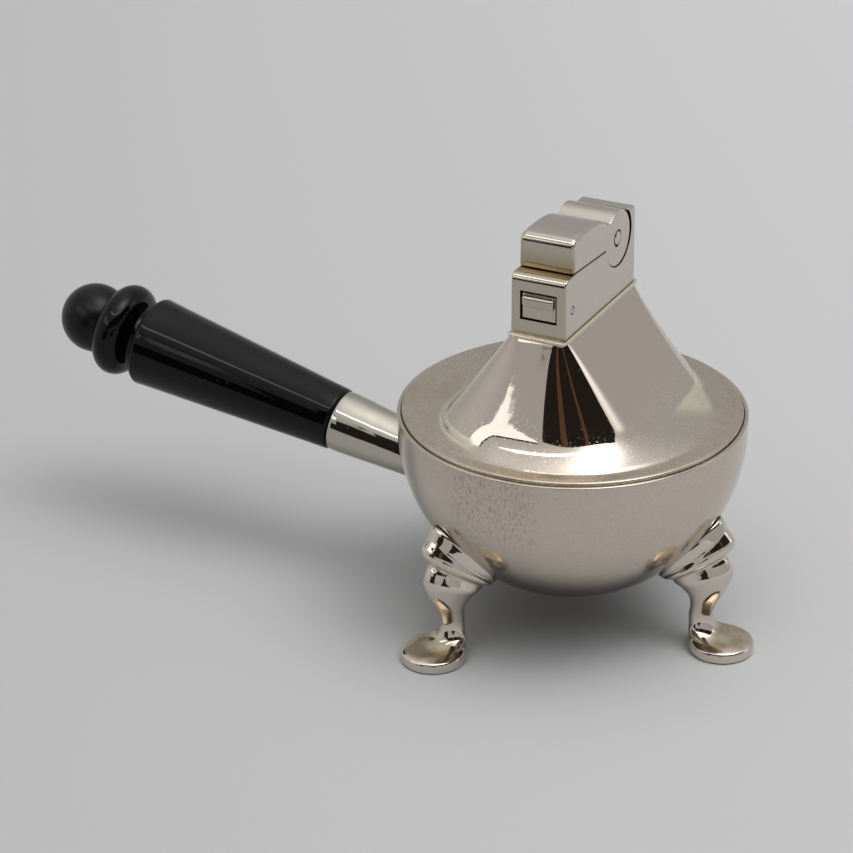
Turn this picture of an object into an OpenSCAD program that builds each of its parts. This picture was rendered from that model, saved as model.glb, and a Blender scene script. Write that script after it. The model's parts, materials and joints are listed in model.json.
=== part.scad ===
// Table lighter in the shape of a footed saucepan: a round bowl on three cast legs,
// a turned handle, and a cover that lifts out with a lift-arm petrol lighter in its neck.
// The origin is on the bowl's axis at table level. +Z is up, the handle points to -X,
// and the lighter's long side runs along Y, with its button at the -Y end.
// All sizes are in millimetres.

/* [Bowl] */
// Outer radius of the round bowl
bowl_r = 40; // [39:0.5:44]
// Sheet thickness of the bowl
bowl_wall = 1; // [0.8:0.1:1.4]
// Height of the upright rim above the half sphere
rim_h = 3.4; // [3:0.2:6]
// Height of the half sphere's centre above the table
bowl_centre_h = 50.1; // [49:0.5:54]

/* [Cover] */
// Gap between the cover's edge and the inside of the rim
cover_gap = 0.3; // [0.2:0.05:0.6]
// Sheet thickness of the cover
cover_wall = 0.8; // [0.6:0.1:1]
// Height of the neck's top edge above the rim
neck_h = 25.5; // [22:0.5:30]
// Height of the upright lip at the neck's top
lip_h = 0.7; // [0.5:0.1:1]
// Corner radius of the flare just under the lip
neck_corner_r = 3.2; // [2:0.2:4]
// Half width of the flare's foot, across the lighter
foot_half_x = 26; // [25:0.5:29]
// Half length of the flare's foot, along the lighter
foot_half_y = 30.4; // [28:0.2:31]
// Corner radius at the flare's foot
foot_corner_r = 22; // [18:0.5:25]
// Height of the flare's foot above the rim
foot_rise = 2.8; // [2:0.1:3.4]
// How hollow the flare is, as a share of its height
flare_sag = 0.05; // [0:0.01:0.2]
// Depth of the cover's skirt below the rim
skirt_h = 3.2; // [2.4:0.2:4]

/* [Handle] */
// How far the handle tilts up from level
handle_tilt = 11.2; // [6:0.2:18]
// Depth below the half sphere's centre where the handle's axis meets the bowl
handle_drop = 17.4; // [13:0.2:20]
// Length of the metal ferrule along its axis
ferrule_len = 25; // [22:0.5:30]
// Diameter where the ferrule meets the grip
joint_d = 15.1; // [14:0.1:17]
// Growth of the handle's diameter for each millimetre of length
handle_taper = 0.13; // [0.1:0.01:0.16]
// Sheet thickness of the ferrule
ferrule_wall = 0.8; // [0.6:0.1:1.2]
// Length of the grip's tapered stretch
grip_len = 54; // [46:1:62]
// Diameter of the ring bead
bead_d = 23; // [20:0.5:25]
// Width of the ring bead
bead_w = 8; // [7:0.5:9]
// Diameter of the end ball
ball_d = 17; // [15:0.5:19]
// Diameter of the screw that holds the grip
handle_screw_d = 4; // [3:0.5:5]

/* [Legs] */
// How far each foot pad's centre lies inside the bowl's radius
foot_inset = 1.7; // [0:0.1:3]
// Diameter of a foot pad
pad_d = 15; // [14:0.5:17]
// Thickness of a foot pad
pad_h = 3; // [2.5:0.1:3.6]
// Half thickness of the ankle across the leg
ankle_half = 2.8; // [2.4:0.1:3.4]
// Half thickness of the knee across the leg
knee_half = 5.8; // [5:0.1:6.4]
// Half thickness of the collar under the bowl
collar_half = 7.6; // [7:0.1:8.4]
// Angle below level at which a leg meets the bowl
seat_angle = 38.7; // [37:0.5:41]

/* [Lighter frame] */
// Width of the lighter across its short side
frame_w = 13.1; // [12.6:0.1:14]
// Length of the lighter along its long side
frame_len = 37.6; // [37:0.2:40]
// Height of the frame from the neck to its deck
frame_h = 14; // [13.6:0.2:16]
// Height of the back block above the deck
back_h = 4.7; // [4:0.1:5.2]
// Radius of the rounded front top edge
front_fillet = 1.5; // [1:0.1:2]
// Length of the open deck in front of the arm
ledge_len = 4.2; // [3.9:0.1:4.6]
// How far the seam under the arm falls towards the hub
seam_drop = 0.9; // [0.4:0.1:1.1]

/* [Arm] */
// Distance from the back end to the arm's pivot
pivot_back = 9.5; // [9.3:0.1:10]
// Radius of the arm's round hub
hub_r = 6.5; // [6.2:0.1:6.6]
// Gap between the hub and its trough in the frame
hub_gap = 0.3; // [0.2:0.05:0.35]
// Width of the arm
arm_w = 12.9; // [12.7:0.1:13.1]
// Height of the arm's roof above the deck
arm_h = 8; // [7.6:0.1:9]
// Thickness of the arm's roof
arm_roof = 1.5; // [1.2:0.1:1.8]
// Thickness of the arm's side walls
arm_wall = 1.25; // [1:0.05:1.4]
// Diameter of the arm's pin
arm_pin_d = 3.2; // [2.8:0.1:3.4]
// Furthest opening angle of the arm
arm_open = 80; // [60:5:85]

/* [Flame and flint] */
// Distance from the pivot forward to the wick
wick_forward = 12.8; // [12.4:0.1:13.2]
// Diameter of the wick
wick_d = 2.3; // [1.8:0.1:2.5]
// Outer diameter of the wick tube
wick_tube_d = 3.4; // [3.1:0.1:3.8]
// Outer diameter of the snuffer cap
snuffer_d = 6.4; // [6:0.1:7]
// Radius of the flint wheel over its teeth
wheel_r = 3.6; // [3.3:0.1:3.8]
// Width of the flint wheel
wheel_w = 2.6; // [2.2:0.1:2.8]
// Number of teeth on the flint wheel
wheel_teeth = 28; // [20:2:36]
// Diameter of the flint
flint_d = 2.4; // [2:0.1:2.5]
// Outer diameter of the flint tube
flint_tube_d = 4; // [3.4:0.1:4.4]

/* [Button] */
// Width of the button's window
window_w = 8.8; // [8.4:0.1:9.2]
// Height of the button's window
window_h = 6.8; // [6.6:0.1:7]
// Height of the button's pin above the neck
button_pin_h = 6; // [5.8:0.1:6.2]
// Diameter of the button's pin
button_pin_d = 1.6; // [1.4:0.1:1.8]

/* [Fuel tank] */
// Width of the tank
tank_w = 11; // [10.4:0.1:11.2]
// Length of the tank
tank_len = 35; // [34:0.2:35.4]
// Height of the tank
tank_h = 43; // [38:1:46]
// Sheet thickness of the tank
tank_wall = 0.5; // [0.4:0.1:0.7]
// Diameter of the filler screw's shank
filler_d = 5; // [4:0.5:5.5]

/* [Hidden] */
$fn = 64;

// Small clearances
seat_gap = 0.03;
fixed_gap = 0.02;
running_gap = 0.05;
eps = 0.01;

// Heights that several pieces share
rim_z = bowl_centre_h + rim_h;
bowl_inner_r = bowl_r - bowl_wall;
cover_r = bowl_inner_r - cover_gap;
skirt_z = rim_z - skirt_h;
neck_z = rim_z + neck_h;
deck_z = neck_z + frame_h;

// Places along the lighter
front_y = -frame_len / 2;
back_y = frame_len / 2;
arm_front_y = front_y + ledge_len;
pivot = [back_y - pivot_back, deck_z];
trough_r = hub_r + hub_gap;
wick_y = pivot[0] - wick_forward;
seam_run = 16;
seam_slope = seam_drop / seam_run;
arm_gap = 0.35;

// Lugs, wheel bay and cheeks, across the lighter
lug_inner = 3.25;
lug_outer = 4.3;
cheek_inner = 4.45;
lug_r = 4.4;
hub_inner_r = 5.3;
arm_inner_half = arm_w / 2 - arm_wall;
arm_roof_z = deck_z + arm_h;
arm_ceiling_z = arm_roof_z - arm_roof;

// Flame well and button pocket
well_floor_z = neck_z + 6.5;
well_half = 4.6;
well_front_y = front_y + 9.2;
slot_half = 2.6;
finger_half = 2.2;
window_z = neck_z + 3.4;
pocket_back_y = front_y + 4.6;
button_pivot = [front_y + 3.6, neck_z + button_pin_h];

// Fuel tank and what passes through its bottom
spigot_h = 2;
plug_h = 1.5;
tank_top_z = neck_z - spigot_h;
tank_floor_z = tank_top_z - tank_h;
tank_corner_r = 2;
tank_bottom_h = 1.2;
filler_y = wick_y - 4;
flint_y = pivot[0];
flint_tube_top = pivot[1] - wheel_r - 0.3;
flint_bore_r = flint_d / 2 + 0.1;
flint_top_z = pivot[1] - wheel_r - 0.1;
flint_len = 5;
plunger_len = 3;
flint_screw_len = 6;
screw_head_h = 1.6;

// Legs
foot_ring_r = bowl_r - foot_inset;
leg_grow = bowl_r / 40;

// Handle
entry_x = sqrt(bowl_r * bowl_r - handle_drop * handle_drop);
entry_z = bowl_centre_h - handle_drop;
ferrule_plug = 8;
ferrule_root = 6;
bead_at = grip_len + bead_w / 2 + 3.3;
ball_at = bead_at + ball_d / 2;

// A 2D outline in the plane of Y and Z, drawn out along X about the middle
module along_x(width) {
    rotate([90, 0, 90])
        translate([0, 0, -width / 2])
            linear_extrude(width)
                children();
}

// The same, from one X to another
module between_x(x0, x1) {
    translate([(x0 + x1) / 2, 0, 0])
        along_x(x1 - x0)
            children();
}

// A rectangle with round corners, by its half sizes
module round_rect(half_x, half_y, r) {
    square([2 * half_x, 2 * (half_y - r)], center = true);
    square([2 * (half_x - r), 2 * half_y], center = true);
    for (sx = [-1, 1], sy = [-1, 1])
        translate([sx * (half_x - r), sy * (half_y - r)])
            circle(r);
}

// A slotted cheese head and its shank, head down, with the seat under the head at z = 0
module slotted_screw(head_d, head_h, shank_d, shank_len) {
    difference() {
        translate([0, 0, -head_h])
            cylinder(d = head_d, h = head_h);
        translate([0, 0, -head_h])
            cube([head_d + 1, 0.9, 1.2], center = true);
    }
    translate([0, 0, -eps])
        cylinder(d = shank_d, h = shank_len + eps);
}

// Points of an arc from one angle to another
function arc(centre, r, from, to, steps) = [
    for (i = [0:steps])
        let (a = from + (to - from) * i / steps)
        [centre[0] + r * cos(a), centre[1] + r * sin(a)]
];

// A smooth value between b and c, with a and d as their neighbours
function smooth(a, b, c, d, t) =
    0.5 * (2 * b + (c - a) * t + (2 * a - 5 * b + 4 * c - d) * t * t
        + (3 * b - a - 3 * c + d) * t * t * t);

// A list of rows with smooth rows put between them
function fill_in(rows, steps) = let (n = len(rows)) [
    for (i = [0:n - 2], s = [0:steps - 1])
        smooth(rows[max(i - 1, 0)], rows[i], rows[i + 1], rows[min(i + 2, n - 1)], s / steps),
    rows[n - 1]
];

// Faces that join equal rings of points, first ring to last
function ring_faces(rings, count) = [
    for (i = [0:rings - 2], j = [0:count - 1])
        let (k = (j + 1) % count)
        each [
            [i * count + j, (i + 1) * count + j, i * count + k],
            [i * count + k, (i + 1) * count + j, (i + 1) * count + k]
        ]
];

function unit(v) = v / norm(v);

// A round wire along a path that winds about a given axis
wire_sides = 6;
module wire(path, axis, r) {
    n = len(path);
    points = [
        for (i = [0:n - 1])
            let (
                ahead = unit(path[min(i + 1, n - 1)] - path[max(i - 1, 0)]),
                side = unit(cross(ahead, axis)),
                up = cross(side, ahead)
            )
            for (s = [0:wire_sides - 1])
                path[i] + r * (up * cos(360 * s / wire_sides) + side * sin(360 * s / wire_sides))
    ];
    first = [for (s = [0:wire_sides - 1]) s];
    last = [for (s = [wire_sides - 1:-1:0]) (n - 1) * wire_sides + s];
    polyhedron(points, concat([first], ring_faces(n, wire_sides), [last]));
}

// The least gap between turns of a wire, from points at least half a turn apart
rings_per_turn = 8;
function least_gap(path, r) = min([
    for (i = [0:len(path) - 1], j = [i + rings_per_turn / 2:1:len(path) - 1])
        norm(path[i] - path[j])
]) - 2 * r;

// The path of a compression spring that rises from its foot along Z
function helix(r, pitch, height) = let (n = floor(height / pitch * rings_per_turn)) [
    for (i = [0:n])
        let (a = 360 * i / rings_per_turn)
        [r * cos(a), r * sin(a), height * i / n]
];

// Bowl

module bowl_outline() {
    intersection() {
        difference() {
            circle(bowl_r);
            circle(bowl_inner_r);
        }
        translate([0, -bowl_r - 1])
            square([bowl_r + 1, bowl_r + 1]);
    }
    translate([bowl_inner_r, 0])
        square([bowl_wall, rim_h]);
}

module bowl() {
    color("silver")
        translate([0, 0, bowl_centre_h])
            rotate_extrude()
                bowl_outline();
}

// A ring soldered inside the rim, which carries the cover's skirt
module seat_ring() {
    ring_h = 1.6;
    ring_w = 1.6;
    color("silver")
        translate([0, 0, skirt_z - 0.05 - ring_h])
            difference() {
                cylinder(r = bowl_inner_r - fixed_gap, h = ring_h);
                translate([0, 0, -1])
                    cylinder(r = bowl_inner_r - ring_w, h = ring_h + 2);
            }
}

// Legs

leg_points = 20;

// Rows that describe a leg from the pad up, each as
// [inner radius, inner height, outer radius, outer height, half thickness].
// The pad's rows are shares of its radius, its height, and the step from ankle to pad.
pad_r = pad_d / 2;
pad_rows = [
    for (row = [
        [-0.92, 0, 0.92, 0, 0.87],
        [-1, 0.25, 1, 0.25, 1],
        [-1, 0.62, 1, 0.62, 1],
        [-1.01, 0.95, 0.91, 0.9, 0.87],
        [-1.03, 1.25, 0.73, 0.98, 0.62],
        [-1.04, 1.6, 0.17, 1.1, 0.47],
        [-1.05, 2.1, -0.17, 1.55, 0.15]
    ])
        [
            foot_ring_r + pad_r * row[0],
            pad_h * row[1],
            foot_ring_r + pad_r * row[2],
            pad_h * row[3],
            ankle_half + (pad_r - ankle_half) * row[4]
        ]
];
ankle_row = [
    foot_ring_r - 1.07 * pad_r,
    7.9 * leg_grow,
    foot_ring_r - pad_r + 5 * leg_grow,
    8.1 * leg_grow,
    ankle_half
];

// The upper rows are set out from the bowl, with distances for a bowl radius of 40:
// [inner angle, inner distance, outer angle, outer distance, half thickness]
bowl_rows = [
    [13.5, 10, 8, 13.4, 1.07 * ankle_half],
    [12, 7.7, 3.6, 12.2, 1.36 * ankle_half],
    [12.2, 5, -0.4, 11.1, 0.84 * knee_half],
    [12.7, 3.3, -2.7, 9.8, knee_half],
    [13.3, 2.25, -4.3, 7.5, 0.98 * knee_half],
    [13.7, 1.8, -4.9, 6.2, knee_half],
    [15, 1.3, -7.8, 6.6, 0.92 * collar_half],
    [15.4, 0.95, -10.4, 6, collar_half],
    [15.6, 0.8, -11.7, 3.8, 0.95 * collar_half],
    [15.9, 0.7, -12.3, 2.9, 0.99 * collar_half],
    [16.2, 0.55, -14.4, 0.9, 1.01 * collar_half],
    [15.9, 0, -14.1, 0, 0.99 * collar_half]
];

function from_bowl(angle, distance) = [
    (bowl_r + distance) * cos(seat_angle + angle),
    bowl_centre_h - (bowl_r + distance) * sin(seat_angle + angle)
];

function bowl_row(row) = let (
    inner = from_bowl(row[0], max(seat_gap, row[1] * leg_grow)),
    outer = from_bowl(row[2], max(seat_gap, row[3] * leg_grow))
) [inner[0], inner[1], outer[0], outer[1], row[4]];

// One ring of a leg: an oval that, above the pad, is narrower towards its outer, crested side
crest = 0.22;
crest_rise = 6 * leg_grow;
function leg_ring(row, scale) = [
    for (i = [0:leg_points - 1])
        let (
            a = 360 * i / leg_points,
            narrow = crest * max(0, min(1, (row[3] - pad_h) / crest_rise)),
            along = scale * cos(a),
            r = (row[0] + row[2]) / 2 + (row[2] - row[0]) / 2 * along,
            z = (row[1] + row[3]) / 2 + (row[3] - row[1]) / 2 * along
        )
        [r, scale * row[4] * sin(a) * (1 - narrow * cos(a)), z]
];

// A ring pulled onto the bowl's surface, so that the seat fits it
function on_bowl(ring) = [
    for (p = ring)
        let (d = unit([p[0], p[1], p[2] - bowl_centre_h]))
        [0, 0, bowl_centre_h] + (bowl_r + seat_gap) * d
];

module leg(angle) {
    rows = fill_in(concat(pad_rows, [ankle_row], [for (row = bowl_rows) bowl_row(row)]), 2);
    last = len(rows) - 1;
    rings = concat(
        [for (i = [0:last - 1]) leg_ring(rows[i], 1)],
        [for (s = [1, 0.68, 0.36]) on_bowl(leg_ring(rows[last], s))]
    );
    middle = on_bowl([for (p = [leg_ring(rows[last], 0)[0]]) p]);
    n = len(rings);
    points = concat([for (ring = rings) each ring], middle);
    foot = [for (j = [0:leg_points - 1]) j];
    crown = [
        for (j = [0:leg_points - 1])
            [(n - 1) * leg_points + j, n * leg_points, (n - 1) * leg_points + (j + 1) % leg_points]
    ];
    color("silver")
        rotate([0, 0, angle])
            polyhedron(points, concat([foot], ring_faces(n, leg_points), crown));
}

module leg_right() {
    leg(0);
}

module leg_back() {
    leg(120);
}

module leg_front() {
    leg(240);
}

// Handle

// Puts its children on the handle's axis, with +Z outwards and z = 0 at the bowl
module on_handle() {
    translate([-entry_x, 0, entry_z])
        rotate([0, handle_tilt - 90, 0])
            children();
}

function handle_r(from_joint) = (joint_d + handle_taper * from_joint) / 2;

// A straight stretch of the handle's cone, measured from the joint
module handle_cone(from, to, inset) {
    translate([0, 0, ferrule_len + from])
        cylinder(r1 = handle_r(from) - inset, r2 = handle_r(to) - inset, h = to - from);
}

module bowl_ball(extra) {
    translate([0, 0, bowl_centre_h])
        sphere(bowl_r + extra);
}

module ferrule() {
    bead = 0.5;
    color("silver") {
        difference() {
            on_handle()
                handle_cone(-ferrule_len - ferrule_root, 0, 0);
            on_handle()
                handle_cone(-ferrule_len - ferrule_root - 1, -ferrule_plug, ferrule_wall);
            on_handle()
                cylinder(d = handle_screw_d + 2 * fixed_gap, h = ferrule_len + 1);
            bowl_ball(fixed_gap);
        }
        difference() {
            intersection() {
                on_handle()
                    handle_cone(-ferrule_len - ferrule_root, 0, -bead);
                bowl_ball(bead);
            }
            on_handle()
                handle_cone(-ferrule_len - ferrule_root - 1, 1, ferrule_wall);
            bowl_ball(fixed_gap);
        }
    }
}

screw_reach = 22;
module handle_screw() {
    head_d = 8;
    head_h = 2;
    color("dimgray")
        on_handle()
            translate([0, 0, ferrule_len - ferrule_plug - fixed_gap])
                slotted_screw(head_d, head_h, handle_screw_d, ferrule_plug + screw_reach);
}

module handle_grip() {
    end_round = 1.4;
    neck_r = ball_d / 2 - 2.3;
    end_r = handle_r(grip_len);
    color([0.03, 0.03, 0.035])
        on_handle()
            difference() {
                union() {
                    handle_cone(fixed_gap, grip_len - end_round, 0);
                    translate([0, 0, ferrule_len + grip_len - end_round - eps])
                        rotate_extrude() {
                            square([end_r - end_round, end_round + eps]);
                            intersection() {
                                translate([end_r - end_round, 0])
                                    circle(end_round);
                                square([end_r, end_round]);
                            }
                        }
                    translate([0, 0, ferrule_len + grip_len - 1])
                        cylinder(r = neck_r, h = ball_at - grip_len + 1);
                    translate([0, 0, ferrule_len + bead_at])
                        rotate_extrude() {
                            translate([bead_d / 2 - bead_w / 2, 0])
                                circle(bead_w / 2);
                            translate([0, -bead_w / 2])
                                square([bead_d / 2 - bead_w / 2, bead_w]);
                        }
                    translate([0, 0, ferrule_len + ball_at])
                        sphere(d = ball_d);
                }
                translate([0, 0, ferrule_len - 1])
                    cylinder(d = handle_screw_d + 2 * fixed_gap, h = screw_reach + 2);
            }
}

// Cover

corner_points = 12;

// A rounded rectangle at one height, with the same number of points at any size
function rect_ring(half_x, half_y, r, z) = [
    for (q = [0:3], i = [0:corner_points - 1])
        let (
            a = 90 * (q + (i + 0.5) / corner_points),
            sx = (q == 0 || q == 3) ? 1 : -1,
            sy = q < 2 ? 1 : -1
        )
        [sx * (half_x - r) + r * cos(a), sy * (half_y - r) + r * sin(a), z]
];

// The flare's rows from the neck down, as [half x, half y, corner radius, height]
neck_half_x = frame_w / 2 + 0.2;
neck_half_y = frame_len / 2 + 0.2;
lip_corner_r = 0.5;
lip_low = neck_z - lip_h;
flare_steps = 9;
flare_top_z = lip_low - 0.1;
flare_foot_z = rim_z + foot_rise;
flare_rows = [
    for (i = [0:flare_steps])
        let (
            s = i / flare_steps,
            fall = (1 - s) - flare_sag * s * (1 - s)
        )
        [
            neck_half_x + (foot_half_x - neck_half_x) * s,
            neck_half_y + (foot_half_y - neck_half_y) * s,
            neck_corner_r + (foot_corner_r - neck_corner_r) * s,
            flare_foot_z + (flare_top_z - flare_foot_z) * fall
        ]
];

// The rows from the flare's foot to the skirt: a hollow, then the flat edge
plate_r = cover_r - 2.5;
plate_rise = 0.9;
edge_rows = concat(
    [
        for (row = [[0.12, 0.52], [0.3, 0.2], [0.6, 0.06]])
            [
                foot_half_x + (plate_r - foot_half_x) * row[0],
                foot_half_y + (plate_r - foot_half_y) * row[0],
                foot_corner_r + (plate_r - foot_corner_r) * row[0],
                rim_z + plate_rise + (foot_rise - plate_rise) * row[1]
            ]
    ],
    [
        for (row = [[2.5, plate_rise], [0.8, 0.55], [0.2, 0.25], [0, -0.2]])
            let (r = cover_r - row[0])
            [r, r, r, rim_z + row[1]]
    ]
);

module cover() {
    lip_rows = [
        for (z = [neck_z, lip_low])
            [neck_half_x, neck_half_y, lip_corner_r, z]
    ];
    outer = concat(lip_rows, flare_rows, edge_rows, [[cover_r, cover_r, cover_r, skirt_z]]);
    inner_first = [
        frame_spigot_half_x + fixed_gap,
        frame_spigot_half_y + fixed_gap,
        spigot_corner_r,
        neck_z
    ];
    lowered = [
        for (row = concat(flare_rows, edge_rows))
            [row[0] - cover_wall, row[1] - cover_wall, max(row[2] - cover_wall, 0.4), row[3] - cover_wall]
    ];
    skirt_r = cover_r - cover_wall;
    inner = concat(
        [inner_first],
        lowered,
        [[skirt_r, skirt_r, skirt_r, skirt_z]]
    );
    rows = concat(outer, [for (i = [len(inner) - 1:-1:0]) inner[i]], [outer[0]]);
    count = 4 * corner_points;
    n = len(rows) - 1;
    points = [for (i = [0:n - 1]) each rect_ring(rows[i][0], rows[i][1], rows[i][2], rows[i][3])];
    faces = [
        for (i = [0:n - 1], j = [0:count - 1])
            let (k = (j + 1) % count, m = (i + 1) % n)
            each [
                [i * count + j, i * count + k, m * count + j],
                [i * count + k, m * count + k, m * count + j]
            ]
    ];
    color("silver")
        polyhedron(points, faces);
}

// Lighter frame

frame_spigot_half_x = frame_w / 2 - 0.8;
frame_spigot_half_y = frame_len / 2 - 1;
spigot_corner_r = neck_corner_r - cover_wall;
tank_inner_half_x = tank_w / 2 - tank_wall;
tank_inner_half_y = tank_len / 2 - tank_wall;

function seam_z(y) = deck_z - (y - arm_front_y) * seam_slope;

// Side view of the frame: front fillet, deck, falling seam, and the back block
module frame_outline() {
    round_back = 1;
    top = deck_z + back_h;
    polygon(concat(
        [[front_y, neck_z]],
        arc([front_y + front_fillet, deck_z - front_fillet], front_fillet, 180, 90, 6),
        [[arm_front_y, deck_z], [pivot[0], seam_z(pivot[0])], [pivot[0], top]],
        arc([back_y - round_back, top - round_back], round_back, 90, 0, 5),
        [[back_y, neck_z]]
    ));
}

module frame_block() {
    along_x(frame_w)
        frame_outline();
    translate([0, 0, tank_top_z])
        linear_extrude(spigot_h + eps)
            round_rect(frame_spigot_half_x, frame_spigot_half_y, spigot_corner_r);
    translate([0, 0, tank_top_z - plug_h])
        linear_extrude(plug_h + eps)
            round_rect(
                tank_inner_half_x - fixed_gap,
                tank_inner_half_y - fixed_gap,
                tank_corner_r - tank_wall
            );
}

// The two ears inside the trough that carry the arm's pin
module frame_lugs() {
    stem_front = 3.6;
    stem_back = 2.4;
    stem_h = trough_r + 1;
    for (side = [-1, 1])
        translate([side * (lug_inner + lug_outer) / 2, 0, 0])
            along_x(lug_outer - lug_inner) {
                translate(pivot)
                    circle(lug_r);
                translate([pivot[0] - stem_front, pivot[1] - stem_h])
                    square([stem_front + stem_back, stem_h]);
            }
}

module lighter_frame() {
    wheel_window = 1.2;
    color("lightgray")
        difference() {
            union() {
                difference() {
                    frame_block();
                    along_x(frame_w + 2)
                        translate(pivot)
                            circle(trough_r);
                    along_x(2 * well_half)
                        translate([well_front_y, well_floor_z])
                            square([pivot[0] - trough_r + wheel_window - well_front_y, frame_h]);
                    along_x(2 * slot_half)
                        translate([pocket_back_y, window_z])
                            square([well_front_y - pocket_back_y + eps, frame_h]);
                    along_x(window_w)
                        translate([front_y - 1, window_z])
                            square([pocket_back_y - front_y + 1 + eps, window_h]);
                }
                frame_lugs();
            }
            along_x(frame_w + 2)
                translate(pivot)
                    circle(d = arm_pin_d + 2 * fixed_gap);
            along_x(frame_w + 2)
                translate(button_pivot)
                    circle(d = button_pin_d + 2 * fixed_gap);
            translate([0, wick_y, tank_top_z - plug_h - 1])
                cylinder(d = wick_tube_d + 2 * fixed_gap, h = frame_h);
            translate([0, flint_y, tank_top_z - plug_h - 1])
                cylinder(d = flint_tube_d + 2 * fixed_gap, h = frame_h);
        }
}

// Fuel tank and its fittings

module fuel_tank() {
    color("goldenrod")
        translate([0, 0, tank_floor_z])
            linear_extrude(tank_h)
                difference() {
                    round_rect(tank_w / 2, tank_len / 2, tank_corner_r);
                    round_rect(tank_inner_half_x, tank_inner_half_y, tank_corner_r - tank_wall);
                }
}

module tank_bottom() {
    color("goldenrod")
        translate([0, 0, tank_floor_z])
            difference() {
                linear_extrude(tank_bottom_h)
                    round_rect(
                        tank_inner_half_x - fixed_gap,
                        tank_inner_half_y - fixed_gap,
                        tank_corner_r - tank_wall
                    );
                translate([0, filler_y, -1])
                    cylinder(d = filler_d + 2 * fixed_gap, h = tank_bottom_h + 2);
                translate([0, flint_y, -1])
                    cylinder(d = flint_tube_d + 2 * fixed_gap, h = tank_bottom_h + 2);
            }
}

// The packed cotton that soaks up the petrol
wadding_gap = 0.3;
filler_len = 4;
module wadding() {
    low = tank_floor_z + filler_len + 1;
    high = tank_top_z - plug_h - wadding_gap;
    color("ivory")
        translate([0, 0, low])
            difference() {
                linear_extrude(high - low)
                    round_rect(
                        tank_inner_half_x - wadding_gap,
                        tank_inner_half_y - wadding_gap,
                        tank_corner_r - tank_wall
                    );
                translate([0, wick_y, 6])
                    cylinder(d = wick_d + 2 * fixed_gap, h = high - low);
                translate([0, flint_y, -1])
                    cylinder(d = flint_tube_d + 2 * fixed_gap, h = high - low + 2);
            }
}

wick_top_z = deck_z + 0.4;
module wick() {
    low = tank_floor_z + filler_len + 7.2;
    color("beige")
        translate([0, wick_y, low])
            cylinder(d = wick_d, h = wick_top_z - low);
}

module wick_tube() {
    low = tank_top_z - plug_h;
    tube_h = deck_z - 1 - low;
    color("gold")
        translate([0, wick_y, low])
            difference() {
                cylinder(d = wick_tube_d, h = tube_h);
                translate([0, 0, -1])
                    cylinder(d = wick_d + 2 * fixed_gap, h = tube_h + 2);
            }
}

gasket_h = 0.8;
filler_head_d = 8;
module filler_screw() {
    color("gold")
        translate([0, filler_y, tank_floor_z - gasket_h])
            slotted_screw(filler_head_d, screw_head_h, filler_d, filler_len + gasket_h);
}

module filler_gasket() {
    color("saddlebrown")
        translate([0, filler_y, tank_floor_z - gasket_h])
            difference() {
                cylinder(d = filler_head_d - 0.6, h = gasket_h);
                translate([0, 0, -1])
                    cylinder(d = filler_d + 2 * running_gap, h = gasket_h + 2);
            }
}

module flint_tube() {
    color("gold")
        translate([0, flint_y, tank_floor_z])
            difference() {
                cylinder(d = flint_tube_d, h = flint_tube_top - tank_floor_z);
                translate([0, 0, -1])
                    cylinder(r = flint_bore_r, h = flint_tube_top - tank_floor_z + 2);
            }
}

module flint() {
    color("gray")
        translate([0, flint_y, flint_top_z - flint_len])
            cylinder(d = flint_d, h = flint_len);
}

module flint_plunger() {
    color("gold")
        translate([0, flint_y, flint_top_z - flint_len - plunger_len])
            cylinder(d = flint_d, h = plunger_len);
}

// The long spring between the flint screw and the plunger
flint_spring_wire = 0.3;
flint_spring_low = tank_floor_z + flint_screw_len + flint_spring_wire / 2 + 0.1;
flint_spring_high = flint_top_z - flint_len - plunger_len - flint_spring_wire / 2 - 0.1;
flint_spring_path = helix(
    flint_d / 2 - flint_spring_wire / 2,
    1.7,
    flint_spring_high - flint_spring_low
);
module flint_spring() {
    color("slategray")
        translate([0, flint_y, flint_spring_low])
            wire(flint_spring_path, [0, 0, 1], flint_spring_wire / 2);
}

module flint_screw() {
    color("gold")
        translate([0, flint_y, tank_floor_z])
            slotted_screw(6, screw_head_h, 2 * (flint_bore_r - running_gap), flint_screw_len);
}

// Pins and small springs of the mechanism

module arm_pin() {
    color("dimgray")
        along_x(arm_w + 0.1)
            translate(pivot)
                circle(d = arm_pin_d);
}

module button_pin() {
    color("dimgray")
        between_x(-frame_w / 2 - 0.15, frame_w / 2)
            translate(button_pivot)
                circle(d = button_pin_d);
}

// A torsion spring round the arm's pin: one leg stands on the trough, one lifts the arm
lift_wire = 0.45;
lift_r = arm_pin_d / 2 + 0.15 + lift_wire / 2;
lift_from = -(lug_inner - 0.15 - lift_wire / 2);
lift_to = -(wheel_w / 2 + 0.2 + lift_wire / 2);
lift_rings = 10;
lift_start = -80;
lift_reach = 0.1 + lift_wire / 2;
function round_pin(x, r, a) = [x, pivot[0] + r * cos(a), pivot[1] + r * sin(a)];
lift_coil = [
    for (i = [0:lift_rings])
        round_pin(
            lift_from + (lift_to - lift_from) * i / lift_rings,
            lift_r,
            lift_start - 360 * i / rings_per_turn
        )
];
lift_path = concat(
    [round_pin(lift_from, trough_r - lift_reach, -64)],
    [round_pin(lift_from, lift_r + 2, -60)],
    lift_coil,
    [round_pin(lift_to, lift_r + 0.35, 150)],
    [round_pin(lift_to, lift_r + 1.5, 118)],
    [round_pin(lift_to, hub_inner_r - lift_reach, 104)]
);
module lift_spring() {
    color("slategray")
        wire(lift_path, [1, 0, 0], lift_wire / 2);
}

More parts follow.
